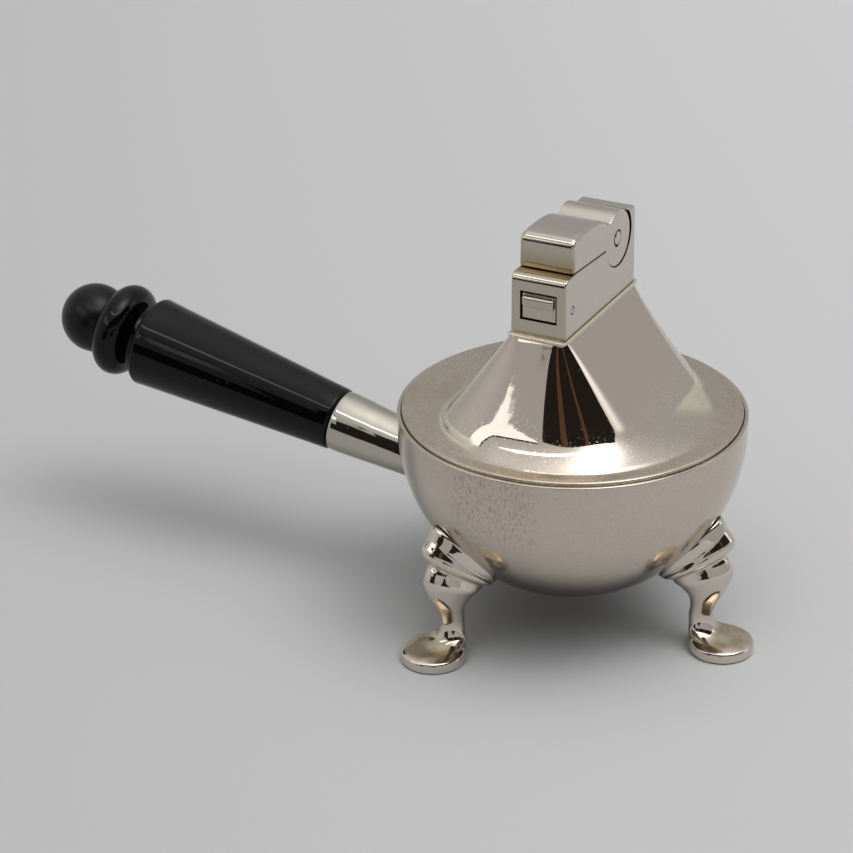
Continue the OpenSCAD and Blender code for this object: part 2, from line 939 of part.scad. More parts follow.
// A small compression spring that pushes the top of the button out
button_plate_back = front_y + 1.4;
button_spring_wire = 0.3;
button_spring_x = (finger_half + window_w / 2) / 2 + 0.05;
button_spring_z = neck_z + 8.9;
button_spring_path = helix(0.65, 0.8, pocket_back_y - button_plate_back - button_spring_wire - 0.1);
module button_spring() {
    color("slategray")
        translate([
            button_spring_x,
            button_plate_back + button_spring_wire / 2 + 0.05,
            button_spring_z
        ])
            rotate([-90, 0, 0])
                wire(button_spring_path, [0, 0, 1], button_spring_wire / 2);
}

// Arm

// Side view of the hood: upright front, rounded edge, gently domed roof and a valley
module hood_outline() {
    low = arm_front_y;
    round_front = 1.6;
    polygon(concat(
        [[low, seam_z(low) + arm_gap]],
        arc([low + round_front, arm_roof_z - 0.1 - round_front], round_front, 180, 95, 6),
        [
            [low + 5.6, arm_roof_z + 0.2],
            [low + 9.6, arm_roof_z + 0.15],
            [pivot[0] - 10.3, arm_roof_z - 0.4],
            [pivot[0] - 7.5, arm_roof_z - 1.4],
            [pivot[0] - 5.8, deck_z + 5.4],
            [pivot[0] - 4.7, deck_z + 5],
            [pivot[0] - 3.6, deck_z + 5.2],
            [pivot[0], deck_z + 3],
            [pivot[0], deck_z],
            [pivot[0] - 4, seam_z(pivot[0] - 4) + arm_gap]
        ]
    ));
}

// The hood's hollow, which runs back to the hub between the cheeks
arm_front_wall = 1.3;
module hood_hollow(back) {
    polygon([
        [arm_front_y + arm_front_wall, deck_z - 8],
        [arm_front_y + arm_front_wall, arm_ceiling_z - 0.8],
        [arm_front_y + arm_front_wall + 0.8, arm_ceiling_z],
        [pivot[0] - 10.6, arm_ceiling_z],
        [pivot[0] - 7.6, min(arm_ceiling_z - 0.9, deck_z + 4.6)],
        [back, deck_z + 3.6],
        [back, deck_z - 8]
    ]);
}

latch_z = deck_z + 1.6;
module arm() {
    bridge_back = arm_open - 50;
    far = hub_r + 3;
    lip_h = 0.8;
    lip_len = 0.4;
    color("lightgray")
        difference() {
            union() {
                difference() {
                    union() {
                        along_x(arm_w)
                            hood_outline();
                        along_x(arm_w)
                            translate(pivot)
                                circle(hub_r);
                    }
                    along_x(2 * arm_inner_half)
                        hood_hollow(pivot[0] - hub_r - 0.4);
                    along_x(2 * cheek_inner)
                        hood_hollow(pivot[0] - 3);
                    along_x(2 * cheek_inner)
                        translate(pivot)
                            circle(hub_inner_r);
                    along_x(2 * cheek_inner)
                        translate(pivot)
                            polygon([
                                [0, 0],
                                [far * cos(bridge_back), far * sin(bridge_back)],
                                [far, 0],
                                [far, -far],
                                [-far, -far],
                                [-far, -0.3],
                                [0, 0]
                            ]);
                }
                along_x(2 * finger_half)
                    translate([arm_front_y + arm_front_wall - eps, latch_z - lip_h])
                        square([lip_len + eps, lip_h]);
            }
            along_x(arm_w + 2)
                translate(pivot)
                    circle(d = arm_pin_d + 2 * running_gap);
        }
}

// The cup that closes over the wick, on a stem under the arm's roof
snuffer_low = deck_z - 2;
snuffer_deep = 3.7;
snuffer_wall = 0.9;
module snuffer_cap() {
    color("gold")
        translate([0, wick_y, 0])
            difference() {
                union() {
                    translate([0, 0, snuffer_low])
                        cylinder(d = snuffer_d, h = snuffer_deep + 0.9);
                    translate([0, 0, snuffer_low + snuffer_deep])
                        cylinder(d = snuffer_d - 2.4, h = arm_ceiling_z - snuffer_low - snuffer_deep);
                }
                translate([0, 0, snuffer_low - 1])
                    cylinder(d = snuffer_d - 2 * snuffer_wall, h = snuffer_deep + 1);
            }
}

module snuffer_pad() {
    pad_thick = 1;
    color("peru")
        translate([0, wick_y, snuffer_low + snuffer_deep - pad_thick])
            cylinder(d = snuffer_d - 2 * snuffer_wall - 2 * fixed_gap, h = pad_thick);
}

// A leaf under the arm's hub that turns the wheel by its ratchet as the arm opens
ratchet_r = 2.7;
ratchet_w = 0.9;
ratchet_teeth = 8;
module drive_pawl() {
    leaf = 0.35;
    tip = 0.12;
    from = wheel_w / 2 + 0.15;
    color("dimgray")
        between_x(from, from + ratchet_w - 0.2)
            translate(pivot)
                rotate(115)
                    polygon(concat(
                        arc([0, 0], hub_inner_r - fixed_gap, -14, 9, 4),
                        [
                            [hub_inner_r - 0.25 - leaf, 0.9],
                            [ratchet_r + tip + leaf, -0.2],
                            [ratchet_r + tip, -0.5],
                            [hub_inner_r - 0.35 - leaf / 2, -1.3]
                        ]
                    ));
}

module flint_wheel() {
    tooth_deep = 0.35;
    color("dimgray")
        difference() {
            union() {
                along_x(wheel_w)
                    translate(pivot)
                        polygon([
                            for (i = [0:wheel_teeth - 1])
                                let (a = 360 / wheel_teeth)
                                each [
                                    wheel_r * [cos(a * i), sin(a * i)],
                                    (wheel_r - tooth_deep) * [cos(a * (i + 0.8)), sin(a * (i + 0.8))]
                                ]
                        ]);
                between_x(wheel_w / 2 - eps, wheel_w / 2 + ratchet_w)
                    translate(pivot)
                        polygon([
                            for (i = [0:ratchet_teeth - 1])
                                let (a = 360 / ratchet_teeth)
                                each [
                                    ratchet_r * [cos(a * i), sin(a * i)],
                                    (ratchet_r - 0.5) * [cos(a * (i + 0.15)), sin(a * (i + 0.15))]
                                ]
                        ]);
            }
            along_x(4 * wheel_w)
                translate(pivot)
                    circle(d = arm_pin_d + 2 * running_gap);
        }
}

// The rocking button: a plate with a raised bar, and a finger whose nose holds the arm
module button() {
    plate_half = window_w / 2 - 0.2;
    plate_low = window_z + 0.25;
    plate_high = window_z + window_h - 0.6;
    plate_front = front_y + 0.3;
    bar_low = neck_z + 7.8;
    bar_high = neck_z + 9.2;
    bar_front = front_y - 0.8;
    bar_half = plate_half - 0.3;
    boss_r = button_pin_d / 2 + 0.9;
    finger_front = arm_front_y + arm_front_wall + 1.2;
    finger_back = finger_front + 0.9;
    nose_front = arm_front_y + arm_front_wall + 0.75;
    nose_low = latch_z + 0.2;
    nose_high = nose_low + 0.8;
    color("lightgray")
        difference() {
            union() {
                along_x(2 * plate_half)
                    translate([plate_front, plate_low])
                        square([button_plate_back - plate_front, plate_high - plate_low]);
                along_x(2 * bar_half)
                    polygon([
                        [plate_front + eps, bar_low - 0.3],
                        [bar_front + 0.2, bar_low],
                        [bar_front, bar_low + 0.3],
                        [bar_front, bar_high - 0.3],
                        [bar_front + 0.3, bar_high],
                        [plate_front + eps, bar_high + 0.2]
                    ]);
                along_x(2 * finger_half) {
                    translate(button_pivot)
                        circle(boss_r);
                    translate([button_plate_back - eps, button_pivot[1] - boss_r])
                        square([button_pivot[0] - button_plate_back + eps, 2 * boss_r]);
                    translate([button_pivot[0], button_pivot[1] - 0.9])
                        square([finger_back - button_pivot[0], 1.8]);
                    translate([finger_front, button_pivot[1] - 0.9])
                        square([finger_back - finger_front, nose_high - button_pivot[1] + 0.9]);
                    translate([nose_front, nose_low])
                        square([finger_back - nose_front, nose_high - nose_low]);
                }
            }
            along_x(2 * window_w)
                translate(button_pivot)
                    circle(d = button_pin_d + 2 * running_gap);
        }
}

echo("least gap in flint spring", least_gap(flint_spring_path, flint_spring_wire / 2));
echo("least gap in lift spring", least_gap(lift_coil, lift_wire / 2));
echo("least gap in button spring", least_gap(button_spring_path, button_spring_wire / 2));

bowl();
seat_ring();
leg_right();
leg_back();
leg_front();
ferrule();
handle_screw();
handle_grip();
cover();
lighter_frame();
fuel_tank();
tank_bottom();
wadding();
wick();
wick_tube();
filler_screw();
filler_gasket();
flint_tube();
flint();
flint_plunger();
flint_spring();
flint_screw();
arm_pin();
lift_spring();
button_pin();
button_spring();
arm();
snuffer_cap();
snuffer_pad();
drive_pawl();
flint_wheel();
button();
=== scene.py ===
"""Looks of a footed table lighter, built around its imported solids.

The lighter is a small round saucepan on three cast legs, with a turned black handle and a
cover that lifts out with a lift-arm petrol lighter. Sizes in the classes are millimetres
in the same frame as the solids, and become metres where a mesh or a node is made.
"""

import json
import logging
import math
from collections.abc import Iterator, Mapping, Sequence
from contextlib import contextmanager
from dataclasses import dataclass
from enum import Enum
from functools import partial, reduce

import bmesh
import bpy
from mathutils import Matrix, Vector, noise

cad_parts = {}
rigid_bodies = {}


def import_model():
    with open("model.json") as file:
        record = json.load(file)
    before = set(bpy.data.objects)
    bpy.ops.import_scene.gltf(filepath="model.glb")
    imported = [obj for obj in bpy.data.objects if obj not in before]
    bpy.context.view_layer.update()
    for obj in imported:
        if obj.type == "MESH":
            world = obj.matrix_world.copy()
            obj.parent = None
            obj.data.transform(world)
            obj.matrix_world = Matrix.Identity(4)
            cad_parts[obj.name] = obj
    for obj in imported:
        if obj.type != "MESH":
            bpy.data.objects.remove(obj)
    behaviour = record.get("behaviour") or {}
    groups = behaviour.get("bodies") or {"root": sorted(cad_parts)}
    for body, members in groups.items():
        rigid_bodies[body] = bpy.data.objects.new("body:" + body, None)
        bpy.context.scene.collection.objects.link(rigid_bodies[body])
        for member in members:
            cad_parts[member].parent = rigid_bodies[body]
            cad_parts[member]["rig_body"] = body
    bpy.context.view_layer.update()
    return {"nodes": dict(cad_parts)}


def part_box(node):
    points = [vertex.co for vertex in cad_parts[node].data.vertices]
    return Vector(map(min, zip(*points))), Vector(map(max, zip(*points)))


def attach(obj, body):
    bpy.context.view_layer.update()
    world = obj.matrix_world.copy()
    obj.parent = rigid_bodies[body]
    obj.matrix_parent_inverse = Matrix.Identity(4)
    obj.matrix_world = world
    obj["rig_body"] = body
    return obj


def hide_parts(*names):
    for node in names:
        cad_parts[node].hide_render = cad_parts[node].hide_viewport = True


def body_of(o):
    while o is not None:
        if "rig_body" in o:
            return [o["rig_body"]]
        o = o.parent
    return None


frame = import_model()

MM = 0.001
# How far carving tools reach past each other
HAIR = 0.01
log = logging.getLogger("table_lighter")

Point = tuple[float, float, float]
Pair = tuple[float, float]
Colour = tuple[float, float, float]
Strip = tuple[float, float, float, float]
Socket = bpy.types.NodeSocket
Value = float | Sequence[float] | Socket


class Body(Enum):
    """The moving bodies of the lighter, by their names in the frame."""

    BASE = "base"
    UNIT = "unit"
    ARM = "lift_arm"
    WHEEL = "wheel"
    BUTTON = "push_button"


class Slot(Enum):
    """The record's material slots, named for the new pieces."""

    SHEET = "plated_sheet"
    CASTING = "plated_casting"
    BLACK = "handle_black"
    STEEL = "steel"
    COTTON = "cotton"
    CORK = "cork"
    GASKET = "gasket_brown"


class Carving(Enum):
    """The two ways to work tools into a piece."""

    CUT = "DIFFERENCE"
    JOIN = "UNION"


# Meshes


def ramp(value: float, low: float, high: float) -> float:
    """Returns how far a value has come from low to high, between 0 and 1."""
    return min(1.0, max(0.0, (value - low) / (high - low)))


def circle(count: int) -> list[float]:
    """Returns evenly spaced angles of a full turn, in radians."""
    return [2 * math.pi * k / count for k in range(count)]


def arc(centre: Pair, radius: float, start: float, stop: float, steps: int) -> list[Pair]:
    """Returns points of an arc between two angles in degrees."""
    turns = [math.radians(start + (stop - start) * i / steps) for i in range(steps + 1)]
    return [(centre[0] + radius * math.cos(t), centre[1] + radius * math.sin(t)) for t in turns]


def catmull_rom(a: float, b: float, c: float, d: float, t: float) -> float:
    """Returns the value a share t of the way from b to c, on a smooth line from a to d."""
    bend = (2 * a - 5 * b + 4 * c - d) * t * t + (3 * b - a - 3 * c + d) * t**3
    return 0.5 * (2 * b + (c - a) * t + bend)


def smooth_rows(rows: Sequence[Sequence[float]], steps: int) -> list[list[float]]:
    """Puts smooth rows between given rows of numbers.

    Args:
        rows: Rows of equal length.
        steps: How many rows each gap becomes.

    Returns:
        The given rows with the new ones between them.
    """
    last = len(rows) - 1
    out = []
    for i in range(last):
        near = [rows[min(max(k, 0), last)] for k in range(i - 1, i + 3)]
        out += [[catmull_rom(*column, s / steps) for column in zip(*near)] for s in range(steps)]
    return [*out, list(rows[last])]


def mesh_object(
    name: str, points: Sequence[Point], faces: Sequence[Sequence[int]]
) -> bpy.types.Object:
    """Makes a smooth-shaded mesh object.

    Args:
        name: The object's name.
        points: The corners, in millimetres.
        faces: The faces, as lists of corner numbers.

    Returns:
        The new object, linked to the scene.
    """
    mesh = bpy.data.meshes.new(name)
    mesh.from_pydata([Vector(p) * MM for p in points], [], [list(f) for f in faces])
    mesh.validate()
    mesh.polygons.foreach_set("use_smooth", [True] * len(mesh.polygons))
    piece = bpy.data.objects.new(name, mesh)
    bpy.context.scene.collection.objects.link(piece)
    return piece


@contextmanager
def editing(piece: bpy.types.Object) -> Iterator[bmesh.types.BMesh]:
    """Opens a piece's mesh for editing, and writes it back afterwards.

    Args:
        piece: The piece.

    Yields:
        The mesh to edit.
    """
    bm = bmesh.new()
    bm.from_mesh(piece.data)
    yield bm
    bm.to_mesh(piece.data)
    bm.free()


def loft(
    name: str, rings: Sequence[Sequence[Point]], closed_ends: bool = True
) -> bpy.types.Object:
    """Skins a list of equal rings of points.

    Args:
        name: The object's name.
        rings: The rings, each with the same number of points, in millimetres.
        closed_ends: True to close the first and last ring with a face, and False
            to join the last ring back to the first.

    Returns:
        The skinned object, with its faces turned outwards.
    """
    count, total = len(rings[0]), len(rings)
    faces = []
    for i in range(total - 1 if closed_ends else total):
        here, there = i * count, (i + 1) % total * count
        for j in range(count):
            k = (j + 1) % count
            faces.append((here + j, here + k, there + k, there + j))
    if closed_ends:
        faces.append(tuple(range(count - 1, -1, -1)))
        faces.append(tuple(range((total - 1) * count, total * count)))
    piece = mesh_object(name, [p for ring in rings for p in ring], faces)
    with editing(piece) as bm:
        bmesh.ops.recalc_face_normals(bm, faces=bm.faces)
    return piece


def lathe(
    name: str, profile: Sequence[Pair], steps: int, place: Matrix | None = None
) -> bpy.types.Object:
    """Turns a closed profile about the Z axis.

    Args:
        name: The object's name.
        profile: Pairs of radius and height in millimetres, in order round the outline.
        steps: The number of steps round the axis.
        place: Where the turned piece goes, as a matrix in millimetres.

    Returns:
        The turned object.
    """
    rings = [[(r * math.cos(t), r * math.sin(t), h) for r, h in profile] for t in circle(steps)]
    piece = loft(name, rings, closed_ends=False)
    with editing(piece) as bm:
        bmesh.ops.remove_doubles(bm, verts=bm.verts, dist=1e-7)
        bmesh.ops.dissolve_degenerate(bm, dist=1e-8, edges=bm.edges)
        bmesh.ops.recalc_face_normals(bm, faces=bm.faces)
    if place is not None:
        moved = place.copy()
        moved.translation = place.translation * MM
        piece.data.transform(moved)
    return piece


def tube(name: str, path: Sequence[Sequence[float]], radius: float) -> bpy.types.Object:
    """Makes a round wire along a path.

    Args:
        name: The object's name.
        path: Points along the middle of the wire, in millimetres.
        radius: Radius of the wire.

    Returns:
        The wire with closed ends.
    """
    sides = 10
    points = [Vector(p) for p in path]
    side = Vector((0.0, 0.0, 1.0))
    rings = []
    for i, point in enumerate(points):
        ahead = (points[min(i + 1, len(points) - 1)] - points[max(i - 1, 0)]).normalized()
        side = (side - ahead * side.dot(ahead)).normalized()
        up = ahead.cross(side)
        ways = [side * math.cos(t) + up * math.sin(t) for t in circle(sides)]
        rings.append([tuple(point + radius * way) for way in ways])
    return loft(name, rings)


def helix(radius: float, pitch: float, height: float, per_turn: int) -> list[Point]:
    """Returns the path of a compression spring that rises from its foot.

    Args:
        radius: Radius of the coil's middle line.
        pitch: How far a turn rises, before the turns are rounded to eighths.
        height: Height of the path.
        per_turn: The number of points in a turn.

    Returns:
        The path's points.
    """
    eighths = int(height / pitch * 8)
    count = eighths * per_turn // 8
    path = []
    for i in range(count + 1):
        turn = 2 * math.pi * eighths / 8 * i / count
        path.append((radius * math.cos(turn), radius * math.sin(turn), height * i / count))
    return path


def rounded_prism(
    name: str, outline: Sequence[Pair], rounds: Sequence[Pair], half: float
) -> bpy.types.Object:
    """Makes a block from its side view, with its side edges rounded.

    Args:
        name: The object's name.
        outline: The side view, as pairs of y and z in millimetres.
        rounds: For each point, how far the rounding reaches in from the side, and how
            deep it draws the outline in at the side.
        half: Half of the block's width along X.

    Returns:
        The block.
    """
    steps = 6
    count = len(outline)
    points = [Vector(p) for p in outline]
    area = sum(points[i - 1].cross(points[i]) for i in range(count))
    turn = math.copysign(1.0, area)
    inward = []
    for i in range(count):
        ahead = (points[(i + 1) % count] - points[i]).normalized()
        behind = (points[i] - points[i - 1]).normalized()
        way = Vector((-(ahead.y + behind.y), ahead.x + behind.x)).normalized() * turn
        own = Vector((-ahead.y, ahead.x)) * turn
        inward.append(way / max(0.5, way.dot(own)))
    rings = []
    for k in range(2 * steps + 2):
        side, level = (1, k) if k <= steps else (-1, 2 * steps + 1 - k)
        t = math.radians(90 * level / steps)
        ring = []
        for point, way, (reach, depth) in zip(points, inward, rounds):
            moved = point + way * depth * (1 - math.sin(t))
            ring.append((side * (half - reach * (1 - math.cos(t))), moved.x, moved.y))
        rings.append(ring)
    return loft(name, rings)


def prism(name: str, outline: Sequence[Pair], half: float, at: float = 0.0) -> bpy.types.Object:
    """Makes a plain block from its side view, half as wide as given to each side of at."""
    return loft(name, [[(x, y, z) for y, z in outline] for x in (at - half, at + half)])


def side_box(name: str, half: float, ys: Pair, zs: Pair) -> bpy.types.Object:
    """Makes a box from its half width and its ranges along Y and Z."""
    corners = [(ys[0], zs[0]), (ys[1], zs[0]), (ys[1], zs[1]), (ys[0], zs[1])]
    return prism(name, corners, half)


def cross_rod(
    name: str, place: Pair, radius: float, half: float, steps: int, at: float = 0.0
) -> bpy.types.Object:
    """Makes a round rod along X through a place in the side view."""
    return prism(name, arc(place, radius, 0, 360, steps)[:-1], half, at)


def upright_rod(name: str, y: float, radius: float, low: float, high: float) -> bpy.types.Object:
    """Makes an upright round rod in the middle plane."""
    outline = arc((0, y), radius, 0, 360, 48)[:-1]
    return loft(name, [[(a, b, z) for a, b in outline] for z in (low, high)])


def rounded_ring(half_x: float, half_y: float, r: float, z: float, corner: int) -> list[Point]:
    """Returns a level rectangle with rounded corners.

    Args:
        half_x: Half of its size along X.
        half_y: Half of its size along Y.
        r: Radius of its corners.
        z: Its height.
        corner: The number of points in each corner.

    Returns:
        The rectangle's points.
    """
    points = []
    for q, (sx, sy) in enumerate(((1, 1), (-1, 1), (-1, -1), (1, -1))):
        for i in range(corner):
            t = math.radians(90 * (q + (i + 0.5) / corner))
            x, y = sx * (half_x - r) + r * math.cos(t), sy * (half_y - r) + r * math.sin(t)
            points.append((x, y, z))
    return points


def upright_block(
    name: str, halves: Pair, corner_r: float, low: float, high: float
) -> bpy.types.Object:
    """Makes an upright block with rounded corners."""
    return loft(name, [rounded_ring(*halves, corner_r, z, 8) for z in (low, high)])


def apply_modifiers(piece: bpy.types.Object) -> None:
    """Writes a piece's modifiers into its mesh.

    Args:
        piece: The piece.
    """
    graph = bpy.context.evaluated_depsgraph_get()
    mesh = bpy.data.meshes.new_from_object(piece.evaluated_get(graph))
    mesh.name = piece.name
    piece.modifiers.clear()
    piece.data = mesh


def carve(
    piece: bpy.types.Object, tools: Sequence[bpy.types.Object], how: Carving = Carving.CUT
) -> None:
    """Works tools into a piece, and removes the tools.

    Args:
        piece: The piece.
        tools: The solids that are cut out of it or joined to it.
        how: Whether they are cut out or joined.
    """
    for tool in tools:
        step = piece.modifiers.new("Carve", "BOOLEAN")
        step.operation, step.solver, step.object = how.value, "EXACT", tool
    apply_modifiers(piece)
    for tool in tools:
        bpy.data.objects.remove(tool)


def smooth_by_angle(piece: bpy.types.Object, angle: float) -> None:
    """Shades a piece smooth, apart from its sharp edges.

    Args:
        piece: The piece.
        angle: Edges sharper than this many degrees stay sharp.
    """
    limit = math.radians(angle)
    with editing(piece) as bm:
        for edge in bm.edges:
            edge.smooth = len(edge.link_faces) != 2 or edge.calc_face_angle(0.0) < limit
        for face in bm.faces:
            face.smooth = True


def soften_edges(piece: bpy.types.Object, width: float, angle: float) -> None:
    """Breaks the sharp edges of a carved piece and evens its shading.

    Args:
        piece: The carved piece.
        width: Width of the broken edges in millimetres.
        angle: Edges sharper than this many degrees are broken.
    """
    still_sharp = 38.0
    with editing(piece) as bm:
        bmesh.ops.remove_doubles(bm, verts=bm.verts, dist=1e-6)
        bmesh.ops.recalc_face_normals(bm, faces=bm.faces)
    bevel = piece.modifiers.new("Soft edges", "BEVEL")
    bevel.width, bevel.segments = width * MM, 2
    bevel.limit_method, bevel.angle_limit = "ANGLE", math.radians(angle)
    bevel.use_clamp_overlap = True
    apply_modifiers(piece)
    smooth_by_angle(piece, still_sharp)
    even = piece.modifiers.new("Even shading", "WEIGHTED_NORMAL")
    even.keep_sharp = True
    apply_modifiers(piece)


# Shader nodes


class NodeSheet:
    """A node tree with short calls for its nodes and links."""

    def __init__(self, tree: bpy.types.NodeTree) -> None:
        """Keeps the tree that the calls work on."""
        self.tree = tree

    def feed(self, socket: Socket, value: Value) -> None:
        """Links an output to a socket, or sets the socket's own value.

        Args:
            socket: The socket.
            value: An output, a number, a vector or a colour.
        """
        if isinstance(value, Socket):
            self.tree.links.new(value, socket)
        elif socket.type == "RGBA" and len(value) == 3:
            socket.default_value = (*value, 1.0)
        else:
            socket.default_value = value

    def add(
        self, kind: str, values: Mapping[int | str, Value] | None = None, **settings: object
    ) -> bpy.types.Node:
        """Adds a shader node.

        Args:
            kind: The node's type, without the words that all shader nodes begin with.
            values: What each socket gets, by the socket's name or number.
            settings: The node's own settings.

        Returns:
            The node.
        """
        node = self.tree.nodes.new(f"ShaderNode{kind}")
        for key, setting in settings.items():
            setattr(node, key, setting)
        for key, value in (values or {}).items():
            self.feed(node.inputs[key], value)
        return node

    def math(self, operation: str, *values: Value, clamp: bool = False) -> Socket:
        """Works one operation on values, and keeps the result between 0 and 1 if asked."""
        node = self.add("Math", dict(enumerate(values)), operation=operation, use_clamp=clamp)
        return node.outputs[0]

    def times(self, *values: Value) -> Socket:
        """Multiplies values."""
        return reduce(partial(self.math, "MULTIPLY"), values)

    def plus(self, *values: Value) -> Socket:
        """Adds values up."""
        return reduce(partial(self.math, "ADD"), values)

    def most(self, *values: Value) -> Socket:
        """Takes the greatest of values."""
        return reduce(partial(self.math, "MAXIMUM"), values)

    def vector_math(self, operation: str, first: Value, second: Value) -> Socket:
        """Works an operation on two vectors, and returns the vector or the dot product."""
        node = self.add("VectorMath", {0: first, 1: second}, operation=operation)
        return node.outputs["Value" if operation == "DOT_PRODUCT" else "Vector"]

    def place(self) -> Socket:
        """Returns the surface's place in the object, in metres."""
        return self.add("TexCoord").outputs["Object"]

    def parts(self) -> tuple[Socket, ...]:
        """Returns the surface's x, y and z in the object, in metres."""
        return tuple(self.add("SeparateXYZ", {0: self.place()}).outputs)

    def noise(
        self,
        scale: Value,
        detail: float = 4.0,
        roughness: float = 0.55,
        distortion: float = 0.0,
        at: Socket | None = None,
    ) -> Socket:
        """Adds a noise texture.

        Args:
            scale: The noise's scale.
            detail: The number of finer layers.
            roughness: The strength of the finer layers.
            distortion: How far the noise is pulled about.
            at: Where the noise is read, or None for the surface's place.

        Returns:
            The noise's value.
        """
        values = {
            "Vector": self.place() if at is None else at,
            "Scale": scale,
            "Detail": detail,
            "Roughness": roughness,
            "Distortion": distortion,
        }
        return self.add("TexNoise", values).outputs[0]

    def spread(
        self, value: Value, low: Value, high: Value, to_low: Value = 0.0, to_high: Value = 1.0
    ) -> Socket:
        """Maps a value smoothly from one range to another.

        Args:
            value: The value.
            low: The value that becomes to_low.
            high: The value that becomes to_high.
            to_low: The result at and below low.
            to_high: The result at and above high.

        Returns:
            The mapped value.
        """
        labels = ("Value", "From Min", "From Max", "To Min", "To Max")
        values = dict(zip(labels, (value, low, high, to_low, to_high)))
        return self.add("MapRange", values, interpolation_type="SMOOTHSTEP").outputs[0]

    def rise(
        self, place: Value, low: float, high: float, to_low: float = 0.0, to_high: float = 1.0
    ) -> Socket:
        """Maps a place in the object like spread, between two places in millimetres."""
        return self.spread(place, low * MM, high * MM, to_low, to_high)

    def mix(self, factor: Value, first: Value, second: Value) -> Socket:
        """Mixes two colours."""
        return self.add("Mix", {0: factor, 6: first, 7: second}, data_type="RGBA").outputs[2]

    def blend(self, factor: Value, first: Value, second: Value) -> Socket:
        """Mixes two numbers."""
        return self.add("Mix", {0: factor, 2: first, 3: second}, data_type="FLOAT").outputs[0]

    def bump(self, height: Value, distance: float) -> Socket:
        """Makes a normal from a height between 0 and 1, with its depth in millimetres."""
        values = {"Strength": 1.0, "Distance": distance * MM, "Height": height}
        return self.add("Bump", values).outputs[0]


class MaterialSheet(NodeSheet):
    """The node sheet of a new material with a Principled shader."""

    def __init__(self, name: str) -> None:
        """Makes the material.

        Args:
            name: The material's name.
        """
        self.material = bpy.data.materials.new(name)
        self.material.use_nodes = True
        super().__init__(self.material.node_tree)

    def finish(self, values: Mapping[str, Value]) -> bpy.types.Material:
        """Gives the shader its values, by socket.

        Args:
            values: A value or an output for each socket, by the socket's name.

        Returns:
            The material.
        """
        shader = self.tree.nodes["Principled BSDF"]
        for label, value in values.items():
            self.feed(shader.inputs[label], value)
        return self.material


class Effect:
    """A look that several finishes share: a node group, built once and placed in each."""

    name: str
    inputs: dict[str, Value]
    outputs: tuple[str, ...]

    def fill(self, sheet: NodeSheet, given: Mapping[str, Socket]) -> dict[str, Socket]:
        """Adds the group's nodes.

        Args:
            sheet: The group's sheet.
            given: The group's inputs, by name.

        Returns:
            What each of the group's outputs gets, by name.
        """
        raise NotImplementedError

    def tree(self) -> bpy.types.NodeTree:
        """Returns the node group, building it the first time.

        Returns:
            The node group.
        """
        known = bpy.data.node_groups.get(self.name)
        if known:
            return known
        tree = bpy.data.node_groups.new(self.name, "ShaderNodeTree")
        for label, usual in self.inputs.items():
            kind = {3: "Vector", 4: "Color"}[len(usual)] if isinstance(usual, tuple) else "Float"
            socket = tree.interface.new_socket(
                label, in_out="INPUT", socket_type=f"NodeSocket{kind}"
            )
            socket.default_value = usual
        for label in self.outputs:
            kind = "Color" if label == "Color" else "Float"
            tree.interface.new_socket(label, in_out="OUTPUT", socket_type=f"NodeSocket{kind}")
        sheet = NodeSheet(tree)
        given = tree.nodes.new("NodeGroupInput").outputs
        leave = tree.nodes.new("NodeGroupOutput").inputs
        for label, value in self.fill(sheet, given).items():
            sheet.feed(leave[label], value)
        return tree

    def place(self, sheet: NodeSheet, **values: Value) -> Mapping[str, Socket]:
        """Places the group in a material with its own values, and returns its outputs."""
        return sheet.add("Group", values, node_tree=self.tree()).outputs


class Tarnish(Effect):
    """Cloudy tarnish that yellows and dulls plated metal."""

    name = "tarnish"
    inputs = {
        "Clean": (0.6, 0.57, 0.53, 1.0),
        "Stained": (0.4, 0.33, 0.2, 1.0),
        "Scale": 60.0,
        "Amount": 0.4,
        "Strength": 0.5,
        "Extra": 0.0,
    }
    outputs = ("Color", "Mask")

    def fill(self, sheet: NodeSheet, given: Mapping[str, Socket]) -> dict[str, Socket]:
        """Adds the nodes of the tarnish.

        Args:
            sheet: The group's sheet.
            given: The group's inputs, by name.

        Returns:
            The metal's colour, and how far it is tarnished.
        """
        wide = sheet.noise(given["Scale"], 3.0, 0.55, 0.6)
        fine = sheet.noise(sheet.times(given["Scale"], 7.3), 5.0, 0.65)
        both = sheet.plus(sheet.times(wide, 0.72), sheet.times(fine, 0.28))
        low = sheet.math("SUBTRACT", 0.78, sheet.times(given["Amount"], 0.5))
        mask = sheet.spread(both, low, sheet.plus(low, 0.24))
        covered = sheet.math("MAXIMUM", mask, given["Extra"], clamp=True)
        share = sheet.times(covered, given["Strength"])
        return {"Color": sheet.mix(share, given["Clean"], given["Stained"]), "Mask": share}


class Pits(Effect):
    """Small scattered pits and specks."""

    name = "pits"
    inputs = {"Scale": 1500.0, "Size": 0.3, "Cover": 0.2, "Patch": 60.0}
    outputs = ("Mask", "Height")

    def fill(self, sheet: NodeSheet, given: Mapping[str, Socket]) -> dict[str, Socket]:
        """Adds the nodes of the pits.

        Args:
            sheet: The group's sheet.
            given: The group's inputs, by name.

        Returns:
            The mask of the pits, and the height that they leave.
        """
        values = {"Vector": sheet.place(), "Scale": given["Scale"], "Randomness": 1.0}
        cells = sheet.add("TexVoronoi", values, feature="F1").outputs
        chance = sheet.add("SeparateColor", {0: cells["Color"]}).outputs
        off = sheet.math("SUBTRACT", cells["Distance"], sheet.times(chance[1], given["Size"]))
        patch = sheet.spread(sheet.noise(given["Patch"], 2.0, 0.5), 0.35, 0.7)
        chosen = sheet.math("LESS_THAN", chance[0], sheet.times(given["Cover"], patch))
        mask = sheet.times(sheet.spread(off, -0.06, 0.05, 1.0, 0.0), chosen)
        return {"Mask": mask, "Height": sheet.math("SUBTRACT", 1.0, mask)}


